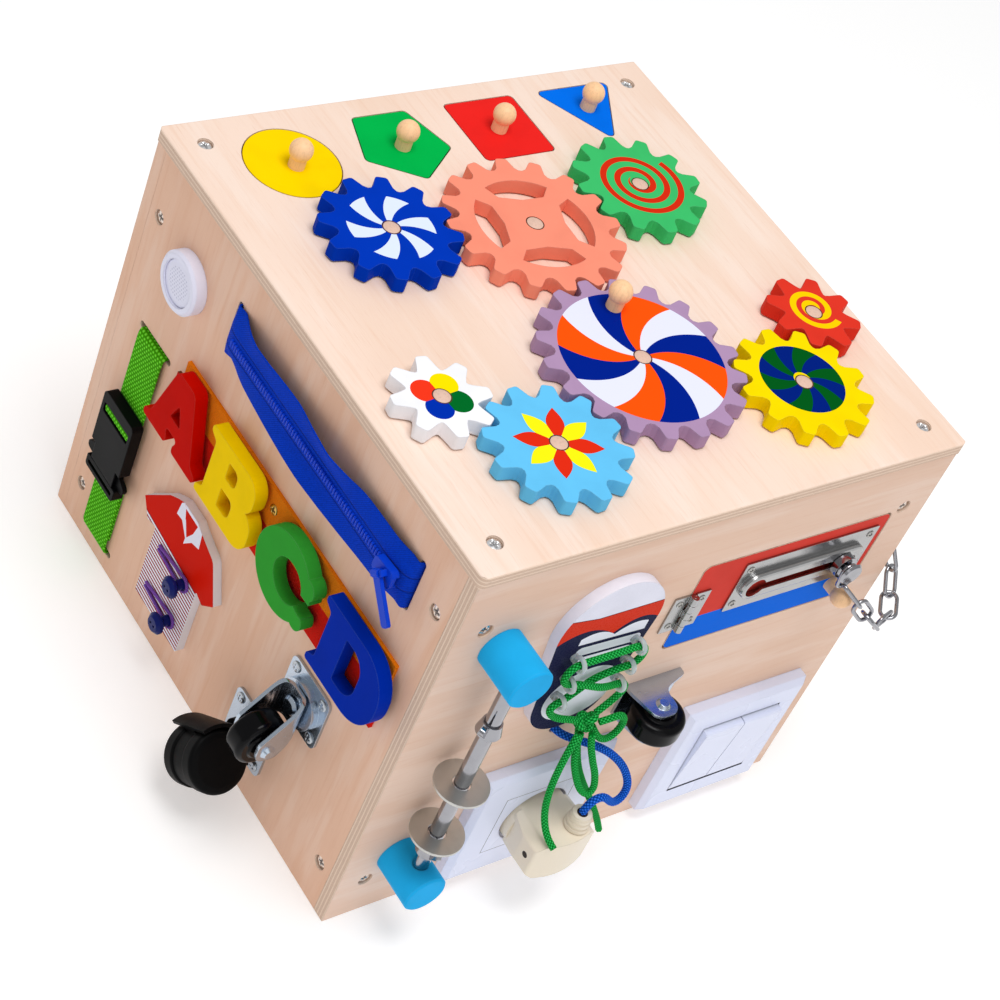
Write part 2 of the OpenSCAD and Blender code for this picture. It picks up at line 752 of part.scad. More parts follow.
module gear_mauve() color("#a587aa") {
    gear(crank_teeth, crank_c, crank_phase);
    translate([crank_c[0] + crank_r * cos(crank_turn), crank_c[1] + crank_r * sin(crank_turn),
        gear_z + gear_t])
        knob();
}
module gear_coral() color("#ff9173") difference() {
    gear(upper_teeth, upper_c, upper_phase);
    translate([upper_c[0], upper_c[1], gear_z - 1]) rotate(upper_phase) linear_extrude(gear_t + 2) {
        for (i = [0:3]) rotate(90 * i) gear_window();
    }
}
module gear_blue() color("#003cc8") gear(mid_teeth, blue_c, blue_phase);
module gear_green() color("#3cc36e") gear(mid_teeth, green_c, green_phase);
module gear_sky() color("#64c3fa") gear(mid_teeth, sky_c, sky_phase);
module gear_yellow() color("#ffe100") gear(mid_teeth, yellow_c, yellow_phase);
module gear_white() color("white") gear(small_teeth, white_c, white_phase);
module gear_red() color("#eb3228") gear(small_teeth, red_c, red_phase);

module puzzle_circle() color("#ffd700") puzzle_piece("circle", disc_c, [0.7, -2.4]);
module puzzle_pentagon() color("#00b450") puzzle_piece("pentagon", penta_c, [-0.4, -2.9]);
module puzzle_square() color("#fa3228") puzzle_piece("square", square_c, [-1.1, -1.2]);
module puzzle_triangle() color("#006eff") puzzle_piece("triangle", tri_c, [-0.5, -2.9]);

module sound_button_body() color("#e1e1f0") on_left(puck_at) difference() {
    union() {
        cylinder(d = puck_d, h = puck_h - 1.5);
        translate([0, 0, puck_h - 1.5]) cylinder(d1 = puck_d, d2 = puck_d - 3, h = 1.5);
    }
    translate([0, 0, puck_floor]) cylinder(d = press_d + 2 * slip, h = puck_h);
}
module sound_button_disc() color("#d5d5ea") on_left(puck_at, puck_floor + press_travel + slip)
    cylinder(d = press_d, h = press_t);

// Strap outlines are drawn in the face's [up, out] plane
module strap_upper() color("#5ac814") on_left([-strap_u, strap_top_z]) {
    run = strap_top_z - buckle_top_z;
    end = -run - 2 * bar_h - window_h;
    back = buckle_back - slip - strap_t;
    across(strap_w) polygon(rounded([
        [strap_t / 2, -ply - 3, 0], [strap_t / 2, strap_t + 1, 2.2], [-8, strap_t + back, 3],
        [end, strap_t + back, 0], [end, back, 0], [-6, back, 2], [-strap_t / 2, 0.4, 0.6],
        [-strap_t / 2, -ply - 3, 0]]));
    translate([0, -run - bar_h - window_h / 2, strap_t + back - eps]) linear_extrude(buckle_t * 0.75)
        square([strap_w, window_h - 1], center = true);
}
module strap_lower() color("#5ac814") on_left([-strap_u, strap_low_z]) {
    end = buckle_low_z - strap_low_z + low_bar_h + low_window_h;
    front = strap_rise + 2 * strap_t;
    across(strap_w) polygon(rounded([
        [-strap_t / 2, -ply - 3, 0], [strap_t / 2, -ply - 3, 0], [strap_t / 2, 0.2, 0.1],
        [5, strap_rise, 0.4],
        [end, strap_rise, 0], [end, front, 0], [8, front, 3], [-strap_t / 2, strap_t + 1, 1.5]]));
    translate([0, buckle_low_z - strap_low_z + low_bar_h + low_window_h / 2, front - eps])
        linear_extrude(buckle_t * 0.75) square([strap_w, low_window_h - 0.8], center = true);
}

// The upper half slides up. The lower half holds the prongs and their ears
module buckle_female() color("#1c1c1e") on_left([-strap_u, 0], buckle_back) {
    mouth = buckle_w - 2 * buckle_wall;
    low = buckle_mid_z + slip;
    shape = [[-buckle_w / 2, low, 1], [buckle_w / 2, low, 1], [buckle_w / 2, buckle_top_z, 3],
        [-buckle_w / 2, buckle_top_z, 3]];
    difference() {
        linear_extrude(buckle_t) polygon(rounded(shape));
        translate([-mouth / 2, low - 1, buckle_skin])
            cube([mouth, prong_l + 2, buckle_t - 2 * buckle_skin]);
        for (x = [-1, 1]) {
            translate([x * buckle_w / 2, low + ear_h / 2 - 1, buckle_t / 2])
                cube([2 * buckle_wall + 2, ear_h + 4, buckle_t + 2], center = true);
        }
        translate([0, buckle_top_z - bar_h - window_h / 2, -1]) linear_extrude(buckle_t + 2)
            rounded_rect(strap_w + 1, window_h, 1);
    }
}
module buckle_male() color("#1c1c1e") on_left([-strap_u, 0], buckle_back) {
    mouth = buckle_w - 2 * buckle_wall;
    bar_w = strap_w + 2 * buckle_wall - 1;
    inside = buckle_t - 2 * buckle_skin - 2 * buckle_gap;
    difference() {
        linear_extrude(buckle_t) polygon(rounded([[-bar_w / 2, buckle_low_z, 2],
            [bar_w / 2, buckle_low_z, 2],
            [bar_w / 2, buckle_mid_z, 1], [-bar_w / 2, buckle_mid_z, 1]]));
        translate([0, buckle_low_z + low_bar_h + low_window_h / 2, -1]) linear_extrude(buckle_t + 2)
            rounded_rect(strap_w + 1, low_window_h, 1);
    }
    for (x = [-1, 1]) mirror([x < 0 ? 1 : 0, 0, 0]) {
        reach = mouth / 2 - buckle_gap;
        translate([0, 0, buckle_skin + buckle_gap]) linear_extrude(inside) polygon(rounded([
            [reach - prong_w, buckle_mid_z - eps, 0], [reach, buckle_mid_z - eps, 0],
            [buckle_w / 2 + ear_out, buckle_mid_z + 1, 2], [buckle_w / 2 + ear_out, buckle_mid_z + 5, 2],
            [reach, buckle_mid_z + ear_h - 1, 1], [reach - 1, buckle_mid_z + prong_l, 2],
            [reach - prong_w, buckle_mid_z + prong_l, 2]]));
    }
}

// Zipper outlines are drawn in the face's [across, out] plane
module zipper_tape() color("#1450d2") on_left([0, tape_z]) {
    bend = tape_rise - tape_t;
    middle = (tape_front - tape_back) / 2;
    half = (tape_front + tape_back) / 2 - tape_t / 2;
    rotate([90, 0, 0]) linear_extrude(tape_w, center = true) translate([middle, 0]) difference() {
        polygon(rounded([[-half - tape_t, -ply - 3, 0], [half + tape_t, -ply - 3, 0],
            [half + tape_t, tape_rise, tape_rise - eps], [-half - tape_t, tape_rise, tape_rise - eps]]));
        polygon(rounded([[-half, -ply - 4, 0], [half, -ply - 4, 0], [half, bend, bend - eps],
            [-half, bend, bend - eps]]));
    }
    count = floor((2 * half - 2 * tape_rise) / teeth_step);
    from = middle - count * teeth_step / 2;
    rotate([90, 0, 0]) linear_extrude(teeth_w, center = true) polygon(concat(
        [[from, tape_rise - eps]],
        [for (i = [0:count - 1], p = [[0, 0.3], [0, 1], [0.6, 1], [0.6, 0.3]])
            [from + (i + p[0]) * teeth_step, tape_rise + chain_rise * p[1]]],
        [[from + count * teeth_step, tape_rise - eps]]));
}
module zipper_slider() color("#1450d2") on_left([slider_at, tape_z], tape_rise + slip) {
    lug = pull_w + 2 * slip;
    difference() {
        linear_extrude(slider_t) polygon(rounded([[-slider_l / 2, -slider_w * 0.36, 2],
            [slider_l / 2, -slider_w / 2, 3], [slider_l / 2, slider_w / 2, 3],
            [-slider_l / 2, slider_w * 0.36, 2]]));
        translate([0, 0, (chain_rise + slip) / 2 - 1])
            cube([slider_l + 2, teeth_w + 2 * slip, chain_rise + slip + 2], center = true);
    }
    rotate(pull_turn + 90) translate([0, 0, slider_t + pull_pin_d]) {
        rotate([0, 90, 0]) cylinder(d = pull_pin_d, h = lug + 2, center = true);
        for (x = [-1, 1]) {
            translate([x * (lug / 2 + 0.75), 0, -pull_pin_d / 2 - 0.6])
                cube([1.5, pull_pin_d + 0.6, 2 * pull_pin_d + 1], center = true);
        }
    }
}
module zipper_pull() color("#1450d2")
    on_left([slider_at, tape_z], tape_rise + slip + slider_t + pull_pin_d) rotate(pull_turn + 90)
        difference() {
        union() {
            rotate([0, 90, 0]) cylinder(d = 2 * pull_pin_d - 0.4, h = pull_w, center = true);
            translate([0, 0, -pull_t / 2]) linear_extrude(pull_t) polygon(rounded([[-pull_w / 2, 0, 0],
                [-pull_w / 2, -pull_l, 1.5], [pull_w / 2, -pull_l, 1.5], [pull_w / 2, 0, 0]]));
        }
        rotate([0, 90, 0]) cylinder(d = pull_pin_d + 2 * rivet_gap, h = pull_w + 2, center = true);
    }

module loop_strips() {
    length = strip_to - strip_from;
    color("#f5820a") on_left([strip_from, strip_z]) cube([length, strip_w, pile_t]);
    color("#d2140a") on_left([strip_from, strip_z - strip_w]) cube([length, strip_w, pile_t]);
}

// Letters are outlined about their centres for a height of 45 and scaled to theirs
module letter_shape(kind) {
    scale(letter_h / 45) {
        if (kind == "A") difference() {
            polygon(rounded([[-26, -22.5, 2], [-26, -18.5, 1.6], [-20.5, -15.5, 3], [-8.5, 22.5, 5],
                [8.5, 22.5, 5], [20.5, -15.5, 3], [26, -18.5, 1.6], [26, -22.5, 2], [3.5, -22.5, 2],
                [3.5, -18.5, 1.2], [6, -13, 2], [-6, -13, 2], [-3.5, -18.5, 1.2], [-3.5, -22.5, 2]]));
            polygon(rounded([[-5, -5, 0.8], [5, -5, 0.8], [0, 6.5, 0.8]]));
        }
        if (kind == "B") difference() {
            union() {
                letter_stem();
                polygon(rounded([[-10, 0, 0], [20, 0, 9], [20, 22.5, 10], [-10, 22.5, 0]], 8));
                polygon(rounded([[-10, -22.5, 0], [24, -22.5, 11], [24, 2.5, 10], [-10, 2.5, 0]], 8));
            }
            polygon(rounded([[-5, 4.5, 1], [4, 4.5, 3.5], [4, 15, 4], [-5, 15, 1]]));
            polygon(rounded([[-5, -14.5, 1], [6, -14.5, 4], [6, -2.5, 4], [-5, -2.5, 1]]));
        }
        if (kind == "C") difference() {
            union() {
                circle(23.5);
                translate([18.5, 9.5]) circle(6);
                translate([18.5, -13]) circle(5.2);
            }
            translate([4.5, 0]) circle(12);
            polygon([[4.5, 2], [17, 3], [31, 3], [31, -9], [17, -8.5], [4.5, -4]]);
        }
        if (kind == "D") difference() {
            union() {
                translate([-2.5, 0]) letter_stem();
                polygon(rounded([[-12, -22.5, 0], [27, -22.5, 21], [27, 22.5, 21], [-12, 22.5, 0]], 14));
            }
            polygon(rounded([[-6, -14, 1], [10, -14, 10], [10, 14, 10], [-6, 14, 1]], 8));
        }
    }
}
module letter_stem() {
    polygon(rounded([[-24.5, -22.5, 1.5], [-5, -22.5, 0], [-5, 22.5, 0], [-24.5, 22.5, 1.5],
        [-24.5, 18.5, 1.5], [-19, 15.5, 2.5], [-19, -15.5, 2.5], [-24.5, -18.5, 1.5]]));
}
module letter(kind, i, paint) {
    on_left([letter_at[i], letter_z], letter_out) {
        color(paint) linear_extrude(letter_t) letter_shape(kind);
        color("#6b3a22") translate([kind == "C" ? -14 : -13, 0, -pile_t / 2])
            cube([pad_w / 2, pad_w, pile_t], center = true);
    }
}
module letter_a() letter("A", 0, "#c81400");
module letter_b() letter("B", 1, "#e6c300");
module letter_c() letter("C", 2, "#329b3c");
module letter_d() letter("D", 3, "#002da5");

module shirt_board() {
    color("#f0f0f0") on_left(shirt_at) linear_extrude(shirt_t) polygon(rounded([[-22.5, 0, 0.8],
        [22.5, 0, 0.8], [22.5, 48, 0.8], [29.5, 45.5, 1], [38, 53.5, 1], [27, 76, 6], [12, 81.5, 2],
        [7, 84, 3], [-7, 84, 3], [-12, 81.5, 2], [-19, 77, 6], [-38, 57, 1], [-30.5, 47, 1],
        [-22.5, 49, 0.8]]));
    color("#14287a") for (at = button_at) on_left(at, shirt_t) {
        neck = button_d * 0.5;
        cylinder(d = neck, h = 7);
        translate([0, 0, 5]) difference() {
            union() {
                cylinder(d1 = neck, d2 = button_d, h = 2.5);
                translate([0, 0, 2.5]) cylinder(d = button_d, h = 1.5);
                translate([0, 0, 4]) cylinder(d1 = button_d, d2 = button_d * 0.7, h = 1.8);
            }
            for (x = [-1, 1]) translate([x * button_d * 0.14, 0, 3.5]) cylinder(d = 1.6, h = 4);
        }
    }
}
module shirt_loops() color("#6e3caa") for (at = button_at) on_left(at, shirt_t + elastic_d / 2 + snug) {
    hold = button_d * 0.25 + elastic_d / 2 + slip;
    lean = atan((hold - elastic_d / 2 - slip) / elastic_l);
    rotate_extrude_half(hold, elastic_d);
    for (y = [-1, 1]) translate([0, y * hold, 0]) rotate([0, -90, -y * lean])
        cylinder(d = elastic_d, h = elastic_l);
}
module rotate_extrude_half(r, d) {
    rotate(-90) rotate_extrude(angle = 180) translate([r, 0]) circle(d = d);
}

// Caster plate with its rounded corners and four screw heads
module caster_plate() {
    linear_extrude(plate_t) rounded_rect(plate_w, plate_w, 4);
    for (x = [-1, 1], y = [-1, 1]) {
        translate([x * (plate_w / 2 - 5), y * (plate_w / 2 - 5), plate_t - eps])
            cylinder(d1 = 6, d2 = 4, h = 0.9);
    }
}
module caster_mounts() color("#b9c3cf") {
    on_left(swivel_at) {
        caster_plate();
        cylinder(d = 27, h = plate_t + ring_h);
        cylinder(d = swivel_pin_d, h = swivel_nut_z + eps);
        translate([0, 0, swivel_nut_z]) cylinder(d1 = 11, d2 = 8, h = 1.6);
    }
    on_left(twin_at) {
        caster_plate();
        cylinder(d = 17, h = plate_t + ring_h);
        cylinder(d = twin_pin_d, h = plate_t + ring_h + twin_boss + 1);
    }
    on_front(fixed_at) {
        linear_extrude(plate_t) rounded_rect(fixed_w, fork_in + 2 * fork_t, 1);
        for (z = [-1, 1]) {
            translate([0, z * (fork_in + fork_t) / 2, 0]) upward(fork_t) fixed_cheek();
        }
        translate([fixed_axle_x - fixed_at[0], 0, fixed_axle]) rotate([90, 0, 0])
            rivet(fork_in + 2 * fork_t);
    }
}
module fixed_cheek() {
    x = fixed_axle_x - fixed_at[0];
    polygon(rounded([[-fixed_w / 2, 0, 0], [fixed_w / 2, 0, 0], [fixed_w / 2, 4, 2], [x + 7.5, 9, 6],
        [x + 7.5, fixed_axle + 7, 6.5], [x - 7.5, fixed_axle + 7, 6.5], [-fixed_w / 2, 4, 2]]));
}
// Rivet along Z with a domed head past each cheek
module rivet(length) {
    cylinder(d = rivet_d, h = length + 2, center = true);
    for (z = [-1, 1]) mirror([0, 0, z < 0 ? 1 : 0]) {
        translate([0, 0, length / 2 - eps]) cylinder(d1 = rivet_d + 3, d2 = rivet_d, h = 1.8);
    }
}
// Wheel about Z with a crowned tread
module wheel(r, w) {
    difference() {
        rotate_extrude() polygon(rounded([[rivet_d / 2 + rivet_gap, -w / 2, 0], [r * 0.55, -w / 2, 0.5],
            [r * 0.62, -w / 2 + 1, 0.5], [r * 0.8, -w / 2 + 1, 0.5], [r, -w / 2 + 1.5, 3],
            [r, w / 2 - 1.5, 3],
            [r * 0.8, w / 2 - 1, 0.5], [r * 0.62, w / 2 - 1, 0.5], [r * 0.55, w / 2, 0.5],
            [rivet_d / 2 + rivet_gap, w / 2, 0]]));
        cylinder(d = rivet_d + 2 * rivet_gap, h = w + 2, center = true);
    }
}

// The fork is a bent strip: a U section cut to the cheek's outline, with its rivet
module swivel_fork() color("#c8d0d8") on_left(swivel_at, fork_z) {
    axle = swivel_axle - fork_z;
    wide = fork_in + 2 * fork_t;
    difference() {
        intersection() {
            upward(80) difference() {
                polygon(rounded([[-wide / 2, 0, crown_r], [wide / 2, 0, crown_r], [wide / 2, axle + 12, 0],
                    [-wide / 2, axle + 12, 0]]));
                polygon(rounded([[-fork_in / 2, fork_t, crown_r - fork_t],
                    [fork_in / 2, fork_t, crown_r - fork_t],
                    [fork_in / 2, axle + 13, 0], [-fork_in / 2, axle + 13, 0]]));
            }
            across(wide + 2) polygon(rounded([[11, -1, 0], [11, 4, 4], [6 - swivel_trail, axle + 6.5, 6],
                [-6 - swivel_trail, axle + 6.5, 6], [-6.5 - swivel_trail, axle - 5.5, 5], [-11, 3, 4],
                [-11, -1, 0]]));
        }
        translate([0, 0, -1]) cylinder(d = swivel_pin_d + 2 * rivet_gap, h = fork_t + 2);
    }
    translate([0, -swivel_trail, axle]) rotate([0, 90, 0]) rivet(wide);
}
module swivel_wheel() color("#151517") on_left([swivel_at[0], swivel_at[1] - swivel_trail], swivel_axle)
    rotate([0, 90, 0]) wheel(wheel_r, wheel_w);

// Twin caster: a hood with a web between two discs, turned about its stem
module twin_hood() color("#1a1a1c") on_left(twin_at) rotate(twin_turn) {
    neck = plate_t + ring_h + slip;
    wide = twin_gap + 2 * twin_wheel_w + 2;
    difference() {
        union() {
            translate([0, 0, neck]) cylinder(d = 18, h = twin_boss);
            translate([0, -twin_trail, neck + twin_boss + 3]) cube([twin_gap, 18, 12], center = true);
            translate([0, -twin_trail, twin_axle]) rotate([0, 90, 0]) {
                cylinder(r = twin_r - 1, h = twin_gap, center = true);
                fender(twin_r + 1.2, twin_r + 3.2, wide);
                fender(twin_r - 3, twin_r + 2, twin_gap);
            }
        }
        translate([0, 0, neck - 1]) cylinder(d = twin_pin_d + 2 * rivet_gap, h = twin_boss + 4);
        translate([0, -twin_trail, twin_axle]) rotate([0, 90, 0])
            cylinder(d = rivet_d + 2 * rivet_gap, h = wide, center = true);
    }
}
// Part of a ring that covers the wheels on the side of the stem
module fender(inner, outer, wide) {
    rotate(-10) rotate_extrude(angle = 122) translate([inner, -wide / 2]) square([outer - inner, wide]);
}
module twin_wheels() color("#161618") on_left(twin_at) rotate(twin_turn)
    translate([0, -twin_trail, twin_axle])
    rotate([0, 90, 0]) {
        cylinder(d = rivet_d, h = twin_gap + 2 * twin_wheel_w, center = true);
        for (x = [-1, 1]) mirror([0, 0, x < 0 ? 1 : 0]) {
            translate([0, 0, twin_gap / 2 + slip]) rotate_extrude() polygon(rounded([[0, 0, 0],
                [twin_r, 0, 1.5],
                [twin_r, twin_wheel_w - 1.5, 2.5], [twin_r * 0.75, twin_wheel_w - 0.5, 3],
                [0, twin_wheel_w - 0.2, 0]]));
        }
    }
module fixed_wheel() color("#141416") on_front([fixed_axle_x, fixed_at[1]], fixed_axle) rotate([90, 0, 0])
    wheel(wheel_r, wheel_w);

// Bolt toy: two posts, a rod between them, two wing nuts and two washers
module bolt_posts() color("#00aafa") difference() {
    for (z = [post_low_z, post_top_z]) {
        on_front([post_x, z]) {
            cylinder(d = post_d, h = post_l - 1);
            translate([0, 0, post_l - 1]) cylinder(d1 = post_d, d2 = post_d - 2, h = 1);
        }
    }
    rod(rod_d + 2 * snug);
}
module rod(d) {
    translate([post_x, -side_y - rod_out, post_low_z - post_d / 4])
        cylinder(d = d, h = post_top_z - post_low_z + post_d / 2);
}
module bolt_rod() color("#c9ced6") rod(rod_d);
module wing_nut(z, turn) {
    translate([post_x, -side_y - rod_out, z]) rotate(turn) difference() {
        union() {
            cylinder(d1 = nut_d, d2 = nut_d - 3, h = nut_h, center = true);
            rotate([90, 0, 0]) linear_extrude(2.4, center = true) {
                for (x = [-1, 1]) mirror([x < 0 ? 1 : 0, 0, 0])
                    polygon(rounded([[rod_d / 2 + 0.6, -nut_h / 2 + 1, 0],
                    [nut_d / 2, -nut_h / 2 + 1, 1], [wing_r, nut_h / 2 + 3, 1.8],
                    [wing_r - 5, nut_h / 2 + 4, 2],
                    [rod_d / 2 + 0.6, nut_h / 2 - 1, 0]]));
            }
        }
        cylinder(d = rod_d + 2 * nut_gap, h = 2 * nut_h, center = true);
    }
}
module wing_nut_upper() color("#c2c8d0") wing_nut(nut_z[0], 25);
module wing_nut_lower() color("#c2c8d0") wing_nut(nut_z[1] - 1, 70);
module washer(z) {
    translate([post_x, -side_y - rod_out, z]) difference() {
        cylinder(d = washer_d, h = washer_t, center = true);
        cylinder(d = washer_hole, h = 2 * washer_t, center = true);
    }
}
module washer_upper() color("#b4b4ac") washer(washer_z[0]);
module washer_lower() color("#b4b4ac") washer(washer_z[1] + 4);

// Shoe board: toe and heel circles joined by their outer tangents
module shoe_board() color("#ececf2") on_front([shoe_x, 0]) linear_extrude(shoe_t) {
    gap = toe_z - heel_z;
    lean = asin((toe_r - heel_r) / gap);
    translate([0, toe_z]) circle(toe_r);
    translate([0, heel_z]) circle(heel_r);
    polygon([for (p = [[-1, 0], [1, 0], [1, 1], [-1, 1]])
        let (r = p[1] == 0 ? heel_r : toe_r, z = p[1] == 0 ? heel_z : toe_z)
        [p[0] * r * cos(lean), z - r * sin(lean)]]);
}
module lace_eyelets() color("#dfe6ea") for (x = eyelet_x, z = eyelet_z) on_front([x, z], shoe_t) {
    translate([0, 0, eyelet_out]) rotate([0, 90, 0]) rotate_extrude() translate([eyelet_r, 0])
        circle(d = eyelet_d);
    cylinder(d = 2 * eyelet_d, h = eyelet_out - eyelet_r);
}
function on_front_points(route) = [for (p = route) [p[0], -side_y - p[2], p[1]]];
module shoe_lace() color("#009628") {
    for (route = [lace_run, bow_side, bow_long, tail_left, tail_right]) {
        tube(on_front_points(route), lace_d);
    }
    translate([knot_at[0], -side_y - knot_at[2], knot_at[1]]) sphere(knot_r);
}

// Door in its cut-out, hinged on the left
module door() {
    w = door_w - 2 * door_gap;
    h = door_h - 2 * door_gap;
    color("#d74137") on_front([door_x + door_w / 2, door_z + door_h / 2], -ply) linear_extrude(ply)
        rounded_rect(w, h, door_r);
    color("#c8935f") on_front(door_knob_at) knob();
}
// Leaf of the hinge to one side of its pin, with its share of the knuckle
module hinge_leaf(side, parts) {
    step = hinge_l / 5;
    on_front([hinge_axis[0], hinge_z]) {
        mirror([side < 0 ? 1 : 0, 0, 0]) translate([knuckle_r + slip, -hinge_l / 2, 0])
            cube([hinge_w - knuckle_r, hinge_l, sheet_t]);
        for (i = parts) translate([0, (i - 2.5) * step + slip / 2, hinge_axis[1]]) {
            difference() {
                union() {
                    rotate([-90, 0, 0]) cylinder(r = knuckle_r, h = step - slip);
                    mirror([side < 0 ? 1 : 0, 0, 0]) translate([0, 0, -hinge_axis[1] + slip / 2])
                        cube([knuckle_r + slip + 0.5, step - slip, sheet_t]);
                }
                translate([0, -1, 0]) rotate([-90, 0, 0]) cylinder(d = pin_d + 2 * rivet_gap, h = step + 2);
            }
        }
    }
}
module hinge_fixed() color("#b9bec6") {
    hinge_leaf(-1, [0, 2, 4]);
    on_front([hinge_axis[0], hinge_z - hinge_l / 2], hinge_axis[1]) rotate([-90, 0, 0])
        cylinder(d = pin_d, h = hinge_l);
}
module track_slot_shape(half, key) {
    translate([(slot_from + slot_to) / 2 - track_at[0], 0])
        square([slot_to - slot_from, 2 * half], center = true);
    translate([slot_to - track_at[0], 0]) circle(half);
    translate([slot_from - track_at[0], 0]) circle(key);
}
// Moving leaf and the pressed track, hollow behind its rim for the button's foot
module door_hardware() color("#c3c6cc") {
    hinge_leaf(1, [1, 3]);
    on_front(track_at) difference() {
        union() {
            linear_extrude(sheet_t) rounded_rect(track_l, track_w, 1);
            hull() for (cut = [0, track_round * 0.3, track_round]) {
                linear_extrude(track_rise - track_round + sqrt(cut * (2 * track_round - cut)))
                    track_slot_shape(track_half - cut, track_half - cut);
            }
        }
        translate([0, 0, -1]) linear_extrude(track_rise - sheet_t + 1)
            track_slot_shape(track_half - sheet_t, track_half - sheet_t);
        translate([0, 0, -1]) linear_extrude(track_rise + 2) track_slot_shape(track_slot, key_r);
    }
}

// Chain link from p to q on the front face, its flat side turned by roll
module link(p, q, roll) {
    d = q - p;
    r = (link_w - wire_d) / 2;
    half = norm(d) / 2 + 0.2 + wire_d / 2 - r;
    on_front() translate((p + q) / 2) rotate([0, acos(d[2] / norm(d)), atan2(d[1], d[0])]) rotate(roll)
        rotate([90, 0, 0]) {
            for (y = [-1, 1]) mirror([0, y < 0 ? 1 : 0, 0]) {
                translate([0, half, 0]) rotate_extrude(angle = 180) translate([r, 0]) circle(d = wire_d);
            }
            for (x = [-r, r]) translate([x, 0, 0]) rotate([90, 0, 0])
                cylinder(d = wire_d, h = 2 * half, center = true);
        }
}
module chain(joints, from, roll) {
    for (i = [0:len(joints) - 2]) link(from + joints[i], from + joints[i + 1], roll + 90 * (i % 2));
}
module chain_slider() color("#aeb2b8") {
    on_front([chain_at, track_at[1]]) {
        translate([0, 0, slip]) cylinder(r = chain_foot_r, h = track_rise - sheet_t - 2 * slip);
        cylinder(d = chain_neck_d, h = chain_out - 1);
        translate([0, 0, track_rise + slip]) cylinder(r = chain_button_r, h = 4);
        translate([0, 0, chain_out - 1.6]) cylinder(r1 = chain_button_r, r2 = chain_button_r - 1, h = 1.6);
    }
    chain(chain_button_side, [chain_at, track_at[1], 0], 90);
}
module door_chain() color("#aeb2b8") {
    chain(chain_anchor_side, [side_x, anchor_at[1], 0], 90);
    on_right(anchor_at) rotate(anchor_turn) {
        linear_extrude(sheet_t) rounded_rect(15, 9, 3);
        translate([0, 0, staple_leg]) rotate([90, 0, 0]) rotate_extrude(angle = 180)
            translate([staple_r, 0]) circle(d = wire_d);
        for (x = [-1, 1]) translate([x * staple_r, 0, 0]) cylinder(d = wire_d, h = staple_leg);
    }
}

// Plate with bevelled edges, built on the face
module cover(w) {
    hull() {
        linear_extrude(cover_t - cover_bevel) square(w, center = true);
        linear_extrude(cover_t) square(w - 2 * cover_bevel, center = true);
    }
}
module wall_plates() color("#e8e8f2") {
    difference() {
        union() {
            on_front(socket_at) cover(socket_w);
            on_front(well_at, cover_t - well_deep - socket_base)
                cylinder(r = well_r + 2.5, h = well_deep + socket_base - 1);
        }
        on_front(well_at, cover_t - well_deep) cylinder(r = well_r, h = well_deep + 1);
        for (x = [-1, 1]) on_front([well_at[0] + x * socket_pin_step / 2, well_at[1]],
            cover_t - well_deep - socket_pin_l - 1)
                cylinder(d = socket_pin_d + 2 * slip, h = socket_pin_l + 2);
    }
    difference() {
        on_front(switch_at) cover(switch_w);
        on_front(switch_at, -1) linear_extrude(cover_t + 2) square(rocker_space, center = true);
    }
    on_front(switch_at, rocker_pin_out) rotate([0, 90, 0])
        cylinder(d = rocker_pin_d, h = rocker_space + 2, center = true);
}
// Rocker on its pin, with its upper end standing out at rest
module rocker(side) {
    w = rocker_space / 2 - 1.5 * rocker_gap;
    h = rocker_space - 2 * rocker_gap - 1;
    face = cover_t - rocker_pin_out + h / 2 * sin(rocker_lean);
    on_front([switch_at[0] + side * (rocker_space / 4 - rocker_gap / 4), switch_at[1]], rocker_pin_out)
        rotate([rocker_lean, 0, 0]) difference() {
            across(w) polygon(rounded([[-h / 2, -rocker_deep, 1], [h / 2, -rocker_deep, 1],
                [h / 2, face, 1.5],
                [-h / 2, face, 1.5]]));
            rotate([0, 90, 0]) cylinder(d = rocker_pin_d + 2 * rivet_gap, h = w + 2, center = true);
        }
}
module rocker_left() color("#eeeef6") rocker(-1);
module rocker_right() color("#eeeef6") rocker(1);

// Angled plug: a waisted body, two pins and a ribbed relief for the cord
module plug() color("#ebe1cd") {
    deep = well_deep - cover_t;
    in_well = well_r - 1.5;
    on_front(well_at) {
        intersection() {
            translate([0, 0, -deep + slip]) cylinder(r = in_well, h = deep + cover_t + 4);
            cube([2 * in_well, plug_h, 100], center = true);
        }
        intersection() {
            upward(plug_h) polygon(rounded([[-in_well + 2, cover_t + 2, 1], [in_well - 2, cover_t + 2, 1],
                [plug_w / 2, cover_t + 14, 8], [plug_w / 2, plug_out - 5, 2], [0, plug_out, 40],
                [-plug_w / 2, plug_out - 5, 2], [-plug_w / 2, cover_t + 14, 8]]));
            linear_extrude(plug_out + 1) polygon(rounded([[-plug_w / 2, -plug_h / 2 + 4, 2],
                [-plug_w / 2 + 5, -plug_h / 2, 3], [plug_w / 2 - 5, -plug_h / 2, 3],
                [plug_w / 2, -plug_h / 2 + 4, 2],
                [plug_w / 2, plug_h / 2 - 4, 2], [plug_w / 2 - 5, plug_h / 2, 3],
                [-plug_w / 2 + 5, plug_h / 2, 3],
                [-plug_w / 2, plug_h / 2 - 4, 2]]));
        }
        for (x = [-1, 1]) translate([x * socket_pin_step / 2, 0, -deep - socket_pin_l + slip])
            cylinder(d = socket_pin_d, h = socket_pin_l + 1);
    }
    translate([relief_at[0], -side_y - relief_at[2], relief_at[1]]) {
        translate([0, 0, -4]) cylinder(d = 14, h = 6);
        for (i = [0:3]) translate([0, 0, 3.2 * i]) cylinder(d = 14.5 - i, h = 2.2);
        cylinder(d1 = 13, d2 = 10.5, h = relief_l);
    }
}
module plug_cord() color("#0050c8") tube(on_front_points(plug_route), cord_d);

